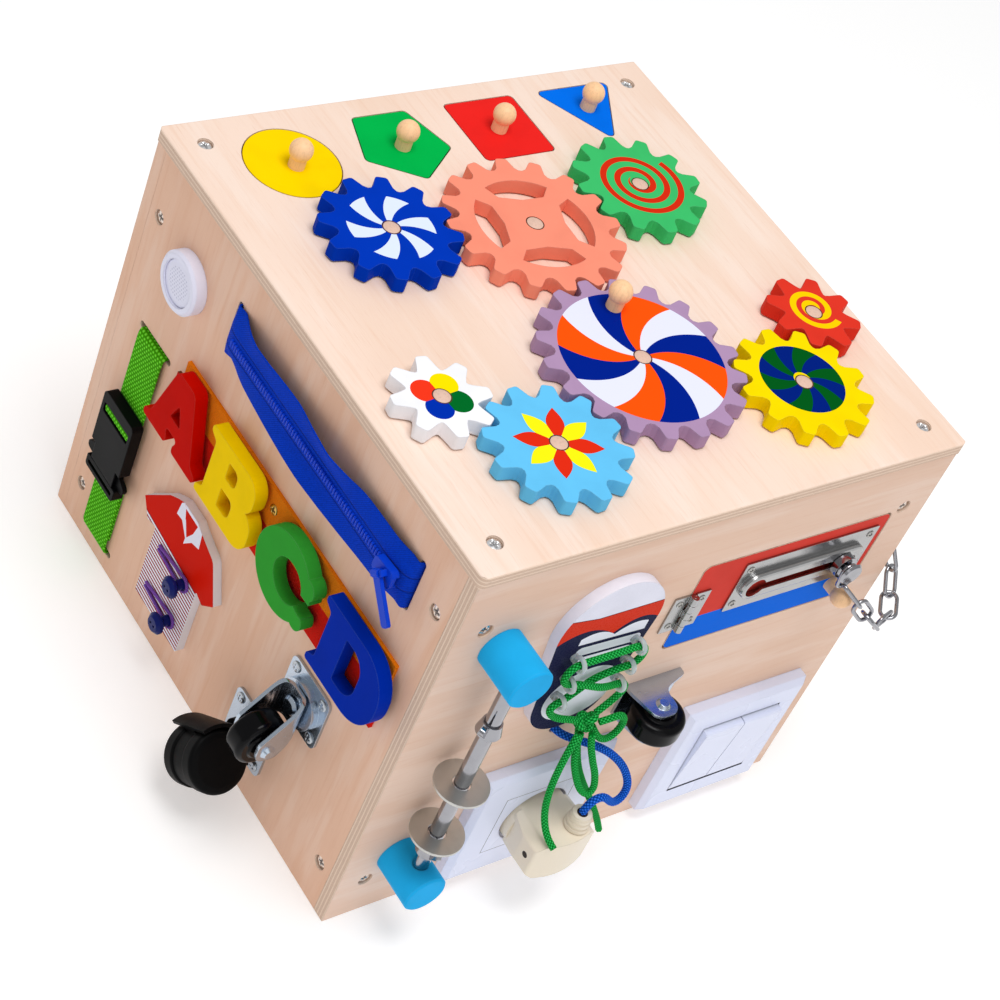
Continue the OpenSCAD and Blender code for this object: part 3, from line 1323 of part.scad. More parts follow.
top_panel();
front_panel();
left_panel();
rear_panels();
inner_frame();
panel_screws();
gear_axles();
gear_mauve();
gear_coral();
gear_blue();
gear_green();
gear_sky();
gear_yellow();
gear_white();
gear_red();
puzzle_circle();
puzzle_pentagon();
puzzle_square();
puzzle_triangle();
sound_button_body();
sound_button_disc();
strap_upper();
strap_lower();
buckle_male();
buckle_female();
zipper_tape();
zipper_slider();
zipper_pull();
loop_strips();
letter_a();
letter_b();
letter_c();
letter_d();
shirt_board();
shirt_loops();
caster_mounts();
swivel_fork();
swivel_wheel();
twin_hood();
twin_wheels();
fixed_wheel();
bolt_posts();
bolt_rod();
wing_nut_upper();
wing_nut_lower();
washer_upper();
washer_lower();
shoe_board();
lace_eyelets();
shoe_lace();
door();
hinge_fixed();
door_hardware();
chain_slider();
door_chain();
wall_plates();
plug();
plug_cord();
rocker_left();
rocker_right();
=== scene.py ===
"""Looks of the wooden activity cube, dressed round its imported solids. Lengths in the text are millimetres."""
import json
import math

import bpy
import numpy as np
from mathutils import Matrix, Vector


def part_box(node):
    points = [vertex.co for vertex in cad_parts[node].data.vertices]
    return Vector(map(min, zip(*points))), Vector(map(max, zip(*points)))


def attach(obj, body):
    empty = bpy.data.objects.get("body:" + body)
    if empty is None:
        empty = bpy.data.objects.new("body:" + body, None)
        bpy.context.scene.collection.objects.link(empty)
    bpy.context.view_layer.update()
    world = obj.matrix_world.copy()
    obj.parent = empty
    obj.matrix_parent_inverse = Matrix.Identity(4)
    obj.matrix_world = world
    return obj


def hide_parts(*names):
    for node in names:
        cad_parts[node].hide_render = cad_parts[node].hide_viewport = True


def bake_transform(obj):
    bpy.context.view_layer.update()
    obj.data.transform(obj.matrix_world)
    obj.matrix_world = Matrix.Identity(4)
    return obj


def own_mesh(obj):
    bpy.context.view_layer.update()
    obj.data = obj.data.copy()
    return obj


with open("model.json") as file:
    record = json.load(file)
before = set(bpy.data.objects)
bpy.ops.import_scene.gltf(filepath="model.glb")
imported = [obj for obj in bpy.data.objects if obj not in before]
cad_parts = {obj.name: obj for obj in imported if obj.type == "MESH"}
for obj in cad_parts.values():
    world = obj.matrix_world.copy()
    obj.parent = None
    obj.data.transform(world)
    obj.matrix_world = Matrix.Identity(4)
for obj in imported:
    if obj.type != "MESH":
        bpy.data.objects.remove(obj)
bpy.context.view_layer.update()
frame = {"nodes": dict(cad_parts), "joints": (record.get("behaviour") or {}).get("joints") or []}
nodes = frame["nodes"]
MM = 0.001
X, Y, Z = 0, 1, 2
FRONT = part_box("front_panel")[0].y / MM
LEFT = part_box("left_panel")[0].x / MM
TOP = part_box("top_panel")[1].z / MM
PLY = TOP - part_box("top_panel")[0].z / MM

# Directions of each face: across, up and out
FACES = {
    "front": ((1, 0, 0), (0, 0, 1), (0, -1, 0)),
    "left": ((0, -1, 0), (0, 0, 1), (-1, 0, 0)),
    "right": ((0, 1, 0), (0, 0, 1), (1, 0, 0)),
    "back": ((-1, 0, 0), (0, 0, 1), (0, 1, 0)),
    "top": ((1, 0, 0), (0, 1, 0), (0, 0, 1)),
}


def on_face(face, across, up, out=0.0):
    """Place on the front or left face, in millimetres of the shared frame."""
    base = {"front": (0, FRONT, 0), "left": (LEFT, 0, 0)}[face]
    a, b, c = (np.array(d, float) for d in FACES[face])
    return np.array(base, float) + a * across + b * up + c * out


def srgb(colour):
    """Linear colour of an sRGB triple from 0 to 255."""
    parts = [c / 255 for c in colour]
    return tuple(c / 12.92 if c < 0.04 else ((c + 0.055) / 1.055) ** 2.4 for c in parts) + (1.0,)


# Materials

class Num:
    """A number in a node tree. Sums on it add Math nodes, so that a pattern reads as a formula."""

    def __init__(self, tree, socket):
        self.tree = tree
        self.socket = socket

    def do(self, operation, *others):
        """A Math node on this number and others."""
        node = self.tree.nodes.new("ShaderNodeMath")
        node.operation = operation
        for slot, value in zip(node.inputs, (self, *others)):
            if isinstance(value, Num):
                self.tree.links.new(value.socket, slot)
            else:
                slot.default_value = value
        return Num(self.tree, node.outputs[0])

    def __add__(self, other):
        return self.do("ADD", other)

    def __sub__(self, other):
        return self.do("SUBTRACT", other)

    def __mul__(self, other):
        return self.do("MULTIPLY", other)

    def __truediv__(self, other):
        return self.do("DIVIDE", other)

    def __lt__(self, other):
        return self.do("LESS_THAN", other)

    def __gt__(self, other):
        return self.do("GREATER_THAN", other)

    def __and__(self, other):
        return self.do("MULTIPLY", other)

    def __or__(self, other):
        return self.do("MAXIMUM", other)

    def __invert__(self):
        return self.do("MULTIPLY_ADD", -1.0, 1.0)

    def __abs__(self):
        return self.do("ABSOLUTE")

    def sin(self):
        return self.do("SINE")

    def part(self):
        return self.do("FRACT")

    def whole(self):
        return self.do("FLOOR")

    def root(self):
        return self.do("SQRT")

    def ramp(self, low, high):
        """0 below low, 1 above high and smooth between them."""
        node = self.tree.nodes.new("ShaderNodeMapRange")
        node.interpolation_type = "SMOOTHSTEP"
        self.tree.links.new(self.socket, node.inputs["Value"])
        node.inputs["From Min"].default_value = low
        node.inputs["From Max"].default_value = high
        return Num(self.tree, node.outputs["Result"])


class Finish:
    """A material in the making: places in millimetres, a colour built up in layers, and a relief."""

    def __init__(self, name, colour, rough=0.5, **sockets):
        self.material = bpy.data.materials.new(name)
        self.material.use_nodes = True
        self.tree = self.material.node_tree
        self.shader = self.tree.nodes["Principled BSDF"]
        self.colour = srgb(colour)
        self.shader.inputs["Base Color"].default_value = self.colour
        self.shader.inputs["Roughness"].default_value = rough
        for socket, value in sockets.items():
            self.shader.inputs[socket.replace("_", " ")].default_value = value
        spot = self.tree.nodes.new("ShaderNodeTexCoord")
        scale = self.tree.nodes.new("ShaderNodeVectorMath")
        scale.operation = "SCALE"
        scale.inputs["Scale"].default_value = 1 / MM
        self.tree.links.new(spot.outputs["Object"], scale.inputs[0])
        self.place = scale.outputs[0]
        self.x, self.y, self.z = self.split(self.place)
        self.nx, self.ny, self.nz = self.split(spot.outputs["Normal"])
        self.normal = None

    def split(self, socket):
        """The three numbers of a vector."""
        node = self.tree.nodes.new("ShaderNodeSeparateXYZ")
        self.tree.links.new(socket, node.inputs[0])
        return [Num(self.tree, out) for out in node.outputs]

    def noise(self, per_mm, stretch=(1, 1, 1), detail=3.0):
        """Even noise about 0.5. A small stretch along an axis draws it out that way."""
        spread = self.tree.nodes.new("ShaderNodeVectorMath")
        spread.operation = "MULTIPLY"
        self.tree.links.new(self.place, spread.inputs[0])
        spread.inputs[1].default_value = [per_mm * s for s in stretch]
        node = self.tree.nodes.new("ShaderNodeTexNoise")
        node.inputs["Scale"].default_value = 1.0
        node.inputs["Detail"].default_value = detail
        self.tree.links.new(spread.outputs[0], node.inputs["Vector"])
        return Num(self.tree, node.outputs[0])

    def attribute(self, name):
        """A number that the mesh itself holds."""
        node = self.tree.nodes.new("ShaderNodeAttribute")
        node.attribute_name = name
        return Num(self.tree, node.outputs["Fac"])

    def layer(self, mask, colour):
        """Puts a colour over what is there, where the mask says."""
        node = self.tree.nodes.new("ShaderNodeMix")
        node.data_type = "RGBA"
        self.tree.links.new(mask.socket, node.inputs["Factor"])
        below, above = node.inputs[6], node.inputs[7]
        if isinstance(self.colour, tuple):
            below.default_value = self.colour
        else:
            self.tree.links.new(self.colour, below)
        above.default_value = srgb(colour)
        self.colour = node.outputs[2]

    def gloss(self, mask, low, high):
        """Roughness from low to high as the mask goes from 0 to 1."""
        self.tree.links.new((mask * (high - low) + low).socket, self.shader.inputs["Roughness"])

    def soften(self, radius):
        """Edges that catch the light as if rounded by this radius."""
        node = self.tree.nodes.new("ShaderNodeBevel")
        node.samples = 4
        node.inputs["Radius"].default_value = radius * MM
        self.normal = node.outputs[0]

    def wear_and_highlight(self, colour, amount):
        """A paler line along softened edges: partly worn paint, partly a painted highlight where the edges
        catch the light.
        """
        flat = self.tree.nodes.new("ShaderNodeNewGeometry")
        node = self.tree.nodes.new("ShaderNodeVectorMath")
        node.operation = "DOT_PRODUCT"
        self.tree.links.new(self.normal, node.inputs[0])
        self.tree.links.new(flat.outputs["Normal"], node.inputs[1])
        bend = ~Num(self.tree, node.outputs["Value"])
        self.layer(bend.ramp(0.02, 0.25) * amount, colour)

    def relief(self, height, depth):
        """Raises the surface by up to depth, in millimetres, where height is 1."""
        node = self.tree.nodes.new("ShaderNodeBump")
        node.inputs["Strength"].default_value = 1.0
        node.inputs["Distance"].default_value = depth * MM
        self.tree.links.new(height.socket, node.inputs["Height"])
        if self.normal:
            self.tree.links.new(self.normal, node.inputs["Normal"])
        self.normal = node.outputs[0]

    def done(self):
        """Joins colour and relief to the shader and gives the material."""
        if not isinstance(self.colour, tuple):
            self.tree.links.new(self.colour, self.shader.inputs["Base Color"])
        if self.normal:
            self.tree.links.new(self.normal, self.shader.inputs["Normal"])
        return self.material


def darker(colour, share):
    """A share of the colour's brightness."""
    return tuple(c * share for c in colour)


def paler(colour, share):
    """The colour moved by a share of the way to white."""
    return tuple(c + (255 - c) * share for c in colour)


PLY_PALE = (233, 208, 188)


def plies(f, thin, low, where, layers=7):
    """Cut edge of birch plywood: pale and dark plies by turns with thin glue lines, where the mask says."""
    depth = ((f.x, f.y, f.z)[thin] - low) * (layers / PLY) + f.noise(0.08, (1, 1, 1), 2) * 0.35
    fibre = f.noise(1.4, [1.0 if i == thin else 0.25 for i in range(3)], 3)
    f.layer(where, PLY_PALE)
    f.layer(where & ((depth * 0.5).part() > 0.5) * 0.6, (205, 172, 150))
    f.layer(where & (abs(depth.part() - 0.5) > 0.44) * 0.5, (158, 128, 108))
    f.layer(where & fibre.ramp(0.5, 0.8) * 0.3, (182, 148, 126))
    return fibre


def plywood_face(name, along, colour, end=None):
    """Pale birch veneer with its grain along one axis. At x > 0 a cut edge shows beyond y = end."""
    stretch = [1.0, 1.0, 1.0]
    stretch[along] = 0.045
    f = Finish(name, colour, 0.5, Specular_IOR_Level=0.2)
    broad = f.noise(0.016, [s if s == 1 else 0.3 for s in stretch], 2)
    flame = f.noise(0.075, [s if s == 1 else 0.14 for s in stretch], 3)
    streak = f.noise(0.35, stretch, 4)
    fleck = f.noise(1.9, stretch, 2)
    red, green, blue = colour
    f.layer(broad.ramp(0.38, 0.66) * 0.6, (red * 0.97, green * 0.94, blue * 0.91))
    f.layer(flame.ramp(0.46, 0.62) * 0.42, paler(colour, 0.28))
    f.layer(streak.ramp(0.5, 0.72) * 0.3, (red * 0.95, green * 0.88, blue * 0.82))
    f.layer(fleck.ramp(0.58, 0.75) * 0.22, (red * 0.9, green * 0.8, blue * 0.72))
    if end:
        plies(f, Y, end, (f.nx > 0.6) & (f.y > end))
    f.gloss(streak, 0.42, 0.6)
    f.soften(0.7)
    f.relief(fleck, 0.06)
    return f.done()


def plywood_edge(name, thin, low):
    """Cut edge of birch plywood all over."""
    f = Finish(name, PLY_PALE, 0.7, Specular_IOR_Level=0.1)
    everywhere = f.z > -1.0
    fibre = plies(f, thin, low, everywhere)
    f.soften(0.6)
    f.relief(fibre, 0.15)
    return f.done()


def turned_wood(name, colour):
    """Smooth turned beech for knobs and pegs, its grain upright."""
    stretch = (1.0, 1.0, 0.12)
    f = Finish(name, colour, 0.4, Specular_IOR_Level=0.2)
    grain = f.noise(0.8, stretch, 4)
    fleck = f.noise(3.0, stretch, 2)
    f.layer(grain.ramp(0.45, 0.75) * 0.5, darker(colour, 0.88))
    f.layer(fleck.ramp(0.6, 0.75) * 0.35, darker(colour, 0.74))
    f.soften(0.4)
    f.relief(grain, 0.08)
    return f.done()


def painted(name, colour, rough=0.38, edge=0.7):
    """Satin paint on wood: slightly uneven, with paler edges that are partly worn paint and partly a painted
    highlight.
    """
    f = Finish(name, colour, rough, Specular_IOR_Level=0.01)
    cloud = f.noise(0.05, detail=3)
    skin = f.noise(0.9, detail=3)
    f.layer(cloud.ramp(0.4, 0.75) * 0.35, darker(colour, 0.9))
    f.gloss(skin, rough - 0.08, rough + 0.12)
    f.soften(edge)
    # Paler edges: partly worn paint, partly a painted highlight
    f.wear_and_highlight(paler(colour, 0.35), 0.35)
    f.relief(skin, 0.05)
    return f


def plastic(name, colour, rough=0.35, grain=0.03, edge=0.5, shine=0.2, **sockets):
    """Moulded plastic with a faint texture."""
    f = Finish(name, colour, rough, Specular_IOR_Level=shine, **sockets)
    skin = f.noise(2.5, detail=2)
    smear = f.noise(0.03, detail=2)
    f.layer(smear.ramp(0.3, 0.9) * 0.2, darker(colour, 0.95))
    f.gloss(smear, rough - 0.05, rough + 0.12)
    f.soften(edge)
    f.relief(skin, grain)
    return f


def metal(name, colour, rough=0.22, scuff=0.12):
    """Plated steel with fine scuffs."""
    f = Finish(name, colour, rough, Metallic=1.0)
    smear = f.noise(0.12, detail=4)
    scratch = f.noise(1.2, (0.2, 1.0, 1.0), 3)
    f.layer(smear.ramp(0.45, 0.8) * 0.3, darker(colour, 0.82))
    f.gloss(scratch * smear, rough - 0.06, rough + scuff + 0.1)
    f.soften(0.3)
    f.relief(scratch, 0.01)
    return f


def fabric(name, colour, thread, rough=0.85, gap_shade=0.0):
    """Woven polyester with so many threads to the millimetre. Where gap_shade isn't 0, painted shade darkens
    the gaps between strands by that share, read from the mesh's own height, and a painted highlight pales the
    strands' tops."""
    f = Finish(name, colour, rough, Sheen_Weight=0.03, Sheen_Roughness=0.4, Specular_IOR_Level=0.05)
    fuzz = f.noise(thread, detail=2)
    cloud = f.noise(0.06, detail=2)
    f.layer(fuzz.ramp(0.4, 0.7) * 0.45, darker(colour, 0.72))
    f.layer(cloud.ramp(0.45, 0.8) * 0.25, darker(colour, 0.85))
    if gap_shade:
        strand = f.attribute("height")
        # Painted shade in the gaps between strands
        f.layer((~strand).ramp(0.1, 0.6) * gap_shade, darker(colour, 0.2))
        # Painted highlight on the strands' tops
        f.layer(strand.ramp(0.7, 0.98) * 0.6, paler(colour, 0.3))
    f.relief(fuzz, 0.12)
    return f


def dress(name, *materials, pick=None):
    """Gives a solid its materials. pick chooses one by a face's middle, in millimetres, and normal."""
    mesh = nodes[name].data
    mesh.materials.clear()
    for m in materials:
        mesh.materials.append(m)
    if pick:
        for p in mesh.polygons:
            p.material_index = int(pick(p.center / MM, p.normal))


# Prints of the gears, about each gear's middle

def polar(f, centre):
    """Distance from a middle, and angle in degrees."""
    dx = f.x - centre[0]
    dy = f.y - centre[1]
    r = (dx * dx + dy * dy).root()
    return r, dy.do("ARCTAN2", dx) * (180 / math.pi)


def swirl(f, centre, colours, sectors, start, lean, inner, outer):
    """Curved sectors round the middle, in turn in the given colours."""
    r, angle = polar(f, centre)
    turn = ((angle + r * lean - start + 720) * (sectors / 360)).whole()
    turn = turn - (turn / len(colours)).whole() * len(colours)
    zone = (r < outer) & (r > inner) & (f.nz > 0.5)
    for i, colour in enumerate(colours):
        f.layer(zone & (abs(turn - i) < 0.5), colour)


def pinwheel(f, centre, colour, blades, start, lean, share, inner, outer):
    """Separate curved blades."""
    r, angle = polar(f, centre)
    along = ((angle + r * lean - start + 720) * (blades / 360)).part()
    f.layer((along < share) & (r < outer) & (r > inner) & (f.nz > 0.5), colour)


def spiral(f, centre, colour, pitch, width, end_angle, outer, inner):
    """A spiral line that winds out anticlockwise and ends at an angle and radius."""
    r, angle = polar(f, centre)
    turn = (angle - end_angle) / 360
    arm = ((r - outer) / pitch - turn + 0.5).whole()
    line = abs(r - (arm + turn) * pitch - outer) < width / 2
    f.layer(line & (arm + turn < 0.0) & (r > inner) & (f.nz > 0.5), colour)


def dots(f, centre, colours, start, away, radius):
    """Round dots about the middle, each kept in its own sector."""
    _, angle = polar(f, centre)
    turn = ((angle - start + 720) / 90 + 0.5).whole()
    turn = turn - (turn / 4).whole() * 4
    for i, colour in enumerate(colours):
        a = math.radians(start + 90 * i)
        dx = f.x - centre[0] - away * math.cos(a)
        dy = f.y - centre[1] - away * math.sin(a)
        f.layer(((dx * dx + dy * dy) < radius**2) & (abs(turn - i) < 0.5) & (f.nz > 0.5), colour)


def flower(f, centre, colours, start, inner, outer, half):
    """Eight pointed petals, two colours by turns."""
    r, angle = polar(f, centre)
    turn = (angle - start + 720) / 45
    near = (turn + 0.5).whole()
    lean = (turn - near) * math.radians(45)
    along = lean.do("COSINE") * r
    across = lean.do("SINE") * r
    width = ((along - inner) * (math.pi / (outer - inner))).sin() * half
    petal = (abs(across) < width) & (along > inner) & (along < outer) & (f.nz > 0.5)
    odd = near - (near / 2).whole() * 2
    f.layer(petal & (odd < 0.5), colours[0])
    f.layer(petal & (odd > 0.5), colours[1])


GEAR_COLOURS = {
    "mauve": (176, 144, 180), "coral": (250, 147, 121), "blue": (0, 54, 183), "green": (62, 192, 108),
    "sky": (102, 196, 244), "yellow": (251, 220, 0), "white": (247, 247, 252), "red": (224, 55, 39),
}
WHITE = (229, 231, 250)
NAVY = (0, 32, 140)
ORANGE = (255, 84, 10)
PEG_GAP_SHADE_R = 4.85
KNOB_FROM = TOP + 10
wood = turned_wood("turned_wood", (255, 208, 160))
peg_wood = turned_wood("peg_wood", (226, 190, 171))
for gear, paint in GEAR_COLOURS.items():
    spot = next(j["pos_m"] for j in frame["joints"] if j["child"] == f"gear_{gear}")
    x, y = centre = [v / MM for v in spot[:2]]
    f = painted(f"paint_{gear}", paint)
    if gear == "mauve":
        swirl(f, centre, (NAVY, WHITE, ORANGE), sectors=12, start=100.7, lean=0.83, inner=0, outer=43)
    if gear == "blue":
        pinwheel(f, centre, (222, 233, 252), blades=6, start=3, lean=1.2, share=0.49, inner=5, outer=22.6)
    if gear == "green":
        spiral(f, (x, y + 1.2), (214, 44, 18), pitch=7.7, width=3.5, end_angle=26, outer=24.5, inner=5)
    if gear == "red":
        spiral(f, (x + 1.9, y + 2.6), (250, 206, 0), pitch=6.4, width=3.5, end_angle=-55, outer=14, inner=2)
    if gear == "yellow":
        swirl(f, (x + 0.2, y + 1.9), ((0, 31, 124), (0, 87, 25)), sectors=12, start=-27.9, lean=1.3,
              inner=4.6, outer=22.6)
    if gear == "white":
        dots(f, centre, ((255, 224, 0), (241, 55, 28), (0, 46, 171), (0, 104, 38)), start=51, away=8.1,
             radius=6.9)
    if gear == "sky":
        flower(f, centre, ((224, 44, 20), (246, 240, 20)), start=64.5, inner=2, outer=22.2, half=4.5)
    r, _ = polar(f, centre)
    # Painted shade in the gap round the peg
    f.layer((r < PEG_GAP_SHADE_R) & (f.nz > 0.5), (84, 52, 40))
    dress(f"gear_{gear}", f.done(), wood, pick=lambda c, n: c.z > KNOB_FROM)
dress("gear_axles", peg_wood)

# Box, puzzle and letters

# One birch veneer in three tones: the left and front copies are darker than the top as painted shade, and the
# rear panels take the left tone
veneer = {
    "top": plywood_face("veneer_top", Y, (247, 221, 204)),
    "left": plywood_face("veneer_left_painted_shade", Z, (233, 190, 163)),
    "front": plywood_face("veneer_front_painted_shade", X, (233, 200, 179)),
}
dress("top_panel", veneer["top"], plywood_edge("plies_top", Z, low=TOP - PLY),
      pick=lambda c, n: abs(n.z) < 0.6)
dress("front_panel", veneer["front"], plywood_edge("plies_front", Y, low=FRONT),
      pick=lambda c, n: abs(n.y) < 0.6)
dress("left_panel", veneer["left"], plywood_edge("plies_left", X, low=LEFT),
      pick=lambda c, n: abs(n.x) < 0.6)
dress("rear_panels", plywood_face("veneer_rear_painted_shade", Z, (233, 190, 163), end=-FRONT - PLY),
      plywood_edge("plies_back", Y, low=-FRONT - PLY), pick=lambda c, n: abs(n.z) > 0.6)
dress("inner_frame", veneer["top"])
PUZZLE = {
    "circle": (255, 216, 0), "pentagon": (0, 182, 76), "square": (238, 38, 34), "triangle": (0, 112, 238),
}
for shape, paint in PUZZLE.items():
    dress(f"puzzle_{shape}", painted(f"paint_{shape}", paint, rough=0.3, edge=0.4).done(), wood,
          pick=lambda c, n: c.z > TOP + 0.1)
LETTER_T = 7.4
LETTERS = {"a": (196, 10, 0), "b": (246, 206, 0), "c": (50, 156, 50), "d": (0, 42, 164)}
hooks = fabric("hook_pile", (112, 62, 38), thread=3.0).done()
for letter, paint in LETTERS.items():
    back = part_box(f"letter_{letter}")[0].x / MM + LETTER_T
    dress(f"letter_{letter}", painted(f"paint_letter_{letter}", paint, rough=0.36, edge=1.0).done(), hooks,
          pick=lambda c, n: c.x > back + 0.2)

# Metal, plastic and painted pieces

# Middle of the tether: across, up and out on the front face
PLUG_ROUTE = [
    [-33.5, 75.3, 28.5], [-33.2, 80, 28.5], [-29.5, 84.5, 28.5], [-23.5, 83.5, 28.5], [-18, 78, 28.5],
    [-12.5, 73, 28.3], [-7, 74.5, 27.6], [-5.5, 81.5, 26.2], [-8.5, 90, 23.6], [-14, 98, 20.4],
    [-21.5, 104.5, 16.5], [-30.5, 109.3, 12.5], [-39.5, 112.5, 8.8], [-45.7, 114.3, 5.4], [-48.7, 115, 2],
    [-49, 115, -4]]

zinc = metal("zinc_plate", (184, 196, 210), rough=0.22).done()
chrome = metal("bright_steel", (162, 162, 167), rough=0.13, scuff=0.06).done()
nickel = metal("nickel_plate", (170, 170, 170), rough=0.2).done()
dull = metal("dull_steel", (196, 196, 192), rough=0.34).done()
black_gloss = plastic("wheel_black", (6, 6, 8), rough=0.14, grain=0.01, shine=0.12).done()
black_matte = plastic("hood_black", (9, 9, 10), rough=0.42, grain=0.05, shine=0.06).done()
black_buckle = plastic("buckle_black", (8, 8, 10), rough=0.36, grain=0.04, edge=0.8, shine=0.06).done()
sky_post = painted("post_blue", (36, 176, 240), rough=0.32, edge=1.2).done()
for name in ("caster_mounts", "swivel_fork"):
    dress(name, zinc)
for name in ("swivel_wheel", "fixed_wheel"):
    dress(name, black_gloss)
for name in ("twin_hood", "twin_wheels"):
    dress(name, black_matte)
for name in ("bolt_rod", "wing_nut_upper", "wing_nut_lower", "chain_slider", "door_chain"):
    dress(name, chrome)
for name in ("washer_upper", "washer_lower"):
    dress(name, dull)
for name in ("hinge_fixed", "door_hardware"):
    dress(name, nickel)
for name in ("buckle_male", "buckle_female"):
    dress(name, black_buckle)
dress("bolt_posts", sky_post)
zip_blue = plastic("zip_blue", (4, 62, 204), rough=0.3, grain=0.03, shine=0.12).done()
for name in ("zipper_slider", "zipper_pull"):
    dress(name, zip_blue)

# Middle and half width of the socket's inner square, half width of the line round it
SOCKET_X, SOCKET_Z = -44.5, 52
SOCKET_HALF = 22.5
SOCKET_LINE = 0.22
# The switch plate's window behind its rockers: low and high across and up, and depth out of the face
WINDOW_X = 60.5, 116.5
WINDOW_Z = 22, 78.5
WINDOW_OUT = 8.3


def plate_plastic():
    """White wall plates, with the line round the socket's inner square."""
    f = plastic("plate_white", (226, 231, 252), rough=0.24, grain=0.005, edge=0.8)
    dx = abs(f.x - SOCKET_X)
    dz = abs(f.z - SOCKET_Z)
    end = SOCKET_HALF + 0.2
    upright = (abs(dx - SOCKET_HALF) < SOCKET_LINE) & (dz < end)
    level = (abs(dz - SOCKET_HALF) < SOCKET_LINE) & (dx < end)
    f.layer((upright | level) & (f.ny < -0.5) & (f.x < 10.0), (120, 120, 132))
    return f.done()


plates = plate_plastic()
# Dark grey in the window behind the rockers: painted shade
shade = plastic("window_shade", (70, 70, 78), rough=0.5, grain=0.02).done()
dress("wall_plates", plates, shade,
      pick=lambda c, n: WINDOW_X[0] < c.x < WINDOW_X[1] and WINDOW_Z[0] < c.z < WINDOW_Z[1]
      and c.y > FRONT - WINDOW_OUT)
for name in ("rocker_left", "rocker_right"):
    dress(name, plates)

PLUG_SCREW_Y, PLUG_SCREW_Z, PLUG_SCREW_R = -177, 52.5, 1.9
PLUG_MOUTH_R = 2.9


def plug_plastic():
    """Cream plug. Its screw hole in the side and the mouth for the cord are dark discs of painted shade, not
    cut into the solid.
    """
    f = plastic("plug_cream", (236, 224, 204), rough=0.3, grain=0.01, edge=0.8)
    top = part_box("plug")[1].z / MM
    dy, dz = f.y - PLUG_SCREW_Y, f.z - PLUG_SCREW_Z
    hole = ((dy * dy + dz * dz) < PLUG_SCREW_R**2) & (f.nx < -0.5)
    dx, dy = f.x - PLUG_ROUTE[0][0], f.y - FRONT + PLUG_ROUTE[0][2]
    mouth = ((dx * dx + dy * dy) < PLUG_MOUTH_R**2) & (f.z > top - 0.3)
    # Painted shade: dark discs for the screw hole and the cord's mouth
    f.layer(hole | mouth, (40, 30, 26))
    return f.done()


dress("plug", plug_plastic())
dress("lace_eyelets", plastic("eyelet_clear", (236, 240, 242), rough=0.22, grain=0.02, edge=0.3,
                              Transmission_Weight=0.55, Subsurface_Weight=0.2).done())

# Rows of the speaker's holes, step along a row, and radius of the field
HOLE_ROW, HOLE_STEP = 1.7, 1.9
HOLES_R = 8.6


def speaker_white(name, dotted):
    """White plastic of the speaker, with rows of small holes if dotted, pressed in by a relief and darkened
    with painted shade.
    """
    f = plastic(name, (232, 232, 250), rough=0.3, grain=0.01, edge=1.0)
    if dotted:
        low, high = (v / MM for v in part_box("sound_button_disc"))
        cy, cz = (low.y + high.y) / 2, (low.z + high.z) / 2
        row = ((f.z - cz) / HOLE_ROW).whole()
        dy = ((f.y - cy) / HOLE_STEP + row * 0.5).part() - 0.5
        dz = ((f.z - cz) / HOLE_ROW).part() - 0.5
        r = ((f.y - cy) * (f.y - cy) + (f.z - cz) * (f.z - cz)).root()
        hole = ((dy * dy + dz * dz).root() < 0.26) & (r < HOLES_R)
        # Painted shade in the holes
        f.layer(hole * 0.55, (176, 176, 205))
        f.relief(~hole, 0.4)
    return f.done()


dress("sound_button_body", speaker_white("speaker_body", False))
dress("sound_button_disc", speaker_white("speaker_disc", True))

DOOR_BLUE_BELOW = 177.5
STRIP_RED_BELOW = 153.0


def door_paint():
    """Red above, blue below."""
    f = painted("paint_door", (216, 66, 56), rough=0.3, edge=0.4)
    f.layer(f.z < DOOR_BLUE_BELOW, (0, 104, 226))
    return f.done()


dress("door", door_paint(), wood, plywood_edge("plies_door", Y, low=FRONT),
      pick=lambda c, n: 1 if c.y < FRONT - 0.05 else (2 if abs(n.y) < 0.6 or c.y > FRONT + 1 else 0))


def strips_pile():
    """Orange and red loop pile."""
    f = fabric("loop_pile", (246, 132, 14), thread=2.4, rough=0.95)
    f.layer(f.z < STRIP_RED_BELOW, (214, 24, 12))
    loops = f.noise(1.6, detail=2)
    f.layer(loops.ramp(0.5, 0.8) * 0.35, (150, 60, 10))
    f.relief(loops, 0.5)
    return f.done()


dress("loop_strips", strips_pile())


def inside(a, b, corners):
    """1 inside a convex outline in the plane of a and b."""
    turn = sum(p[0] * q[1] - q[0] * p[1] for p, q in zip(corners, corners[1:] + corners[:1]))
    mask = None
    for p, q in zip(corners, corners[1:] + corners[:1]):
        side = (b - p[1]) * (q[0] - p[0]) - (a - p[0]) * (q[1] - p[1])
        edge = side > 0.0 if turn > 0 else side < 0.0
        mask = edge if mask is None else mask & edge
    return mask


COLLAR = (
    [(-43.2, 107.3), (-44.4, 98.2), (-39.0, 98.8), (-36.4, 100.3), (-38.9, 107.4), (-40.8, 110)],
    [(-39.0, 98.8), (-32.6, 92.0), (-31.9, 93.2), (-36.5, 101.9)],
    [(-41.5, 112), (-38.9, 107.4), (-26.2, 107.2), (-22, 112)],
    [(-31.9, 93.2), (-32.6, 92.0), (-32.7, 87.7), (-26.8, 94.7), (-27.8, 100.5)],
    [(-27.8, 100.5), (-26.2, 107.2), (-22, 112), (-20.3, 96.7), (-26.8, 94.7)],
)


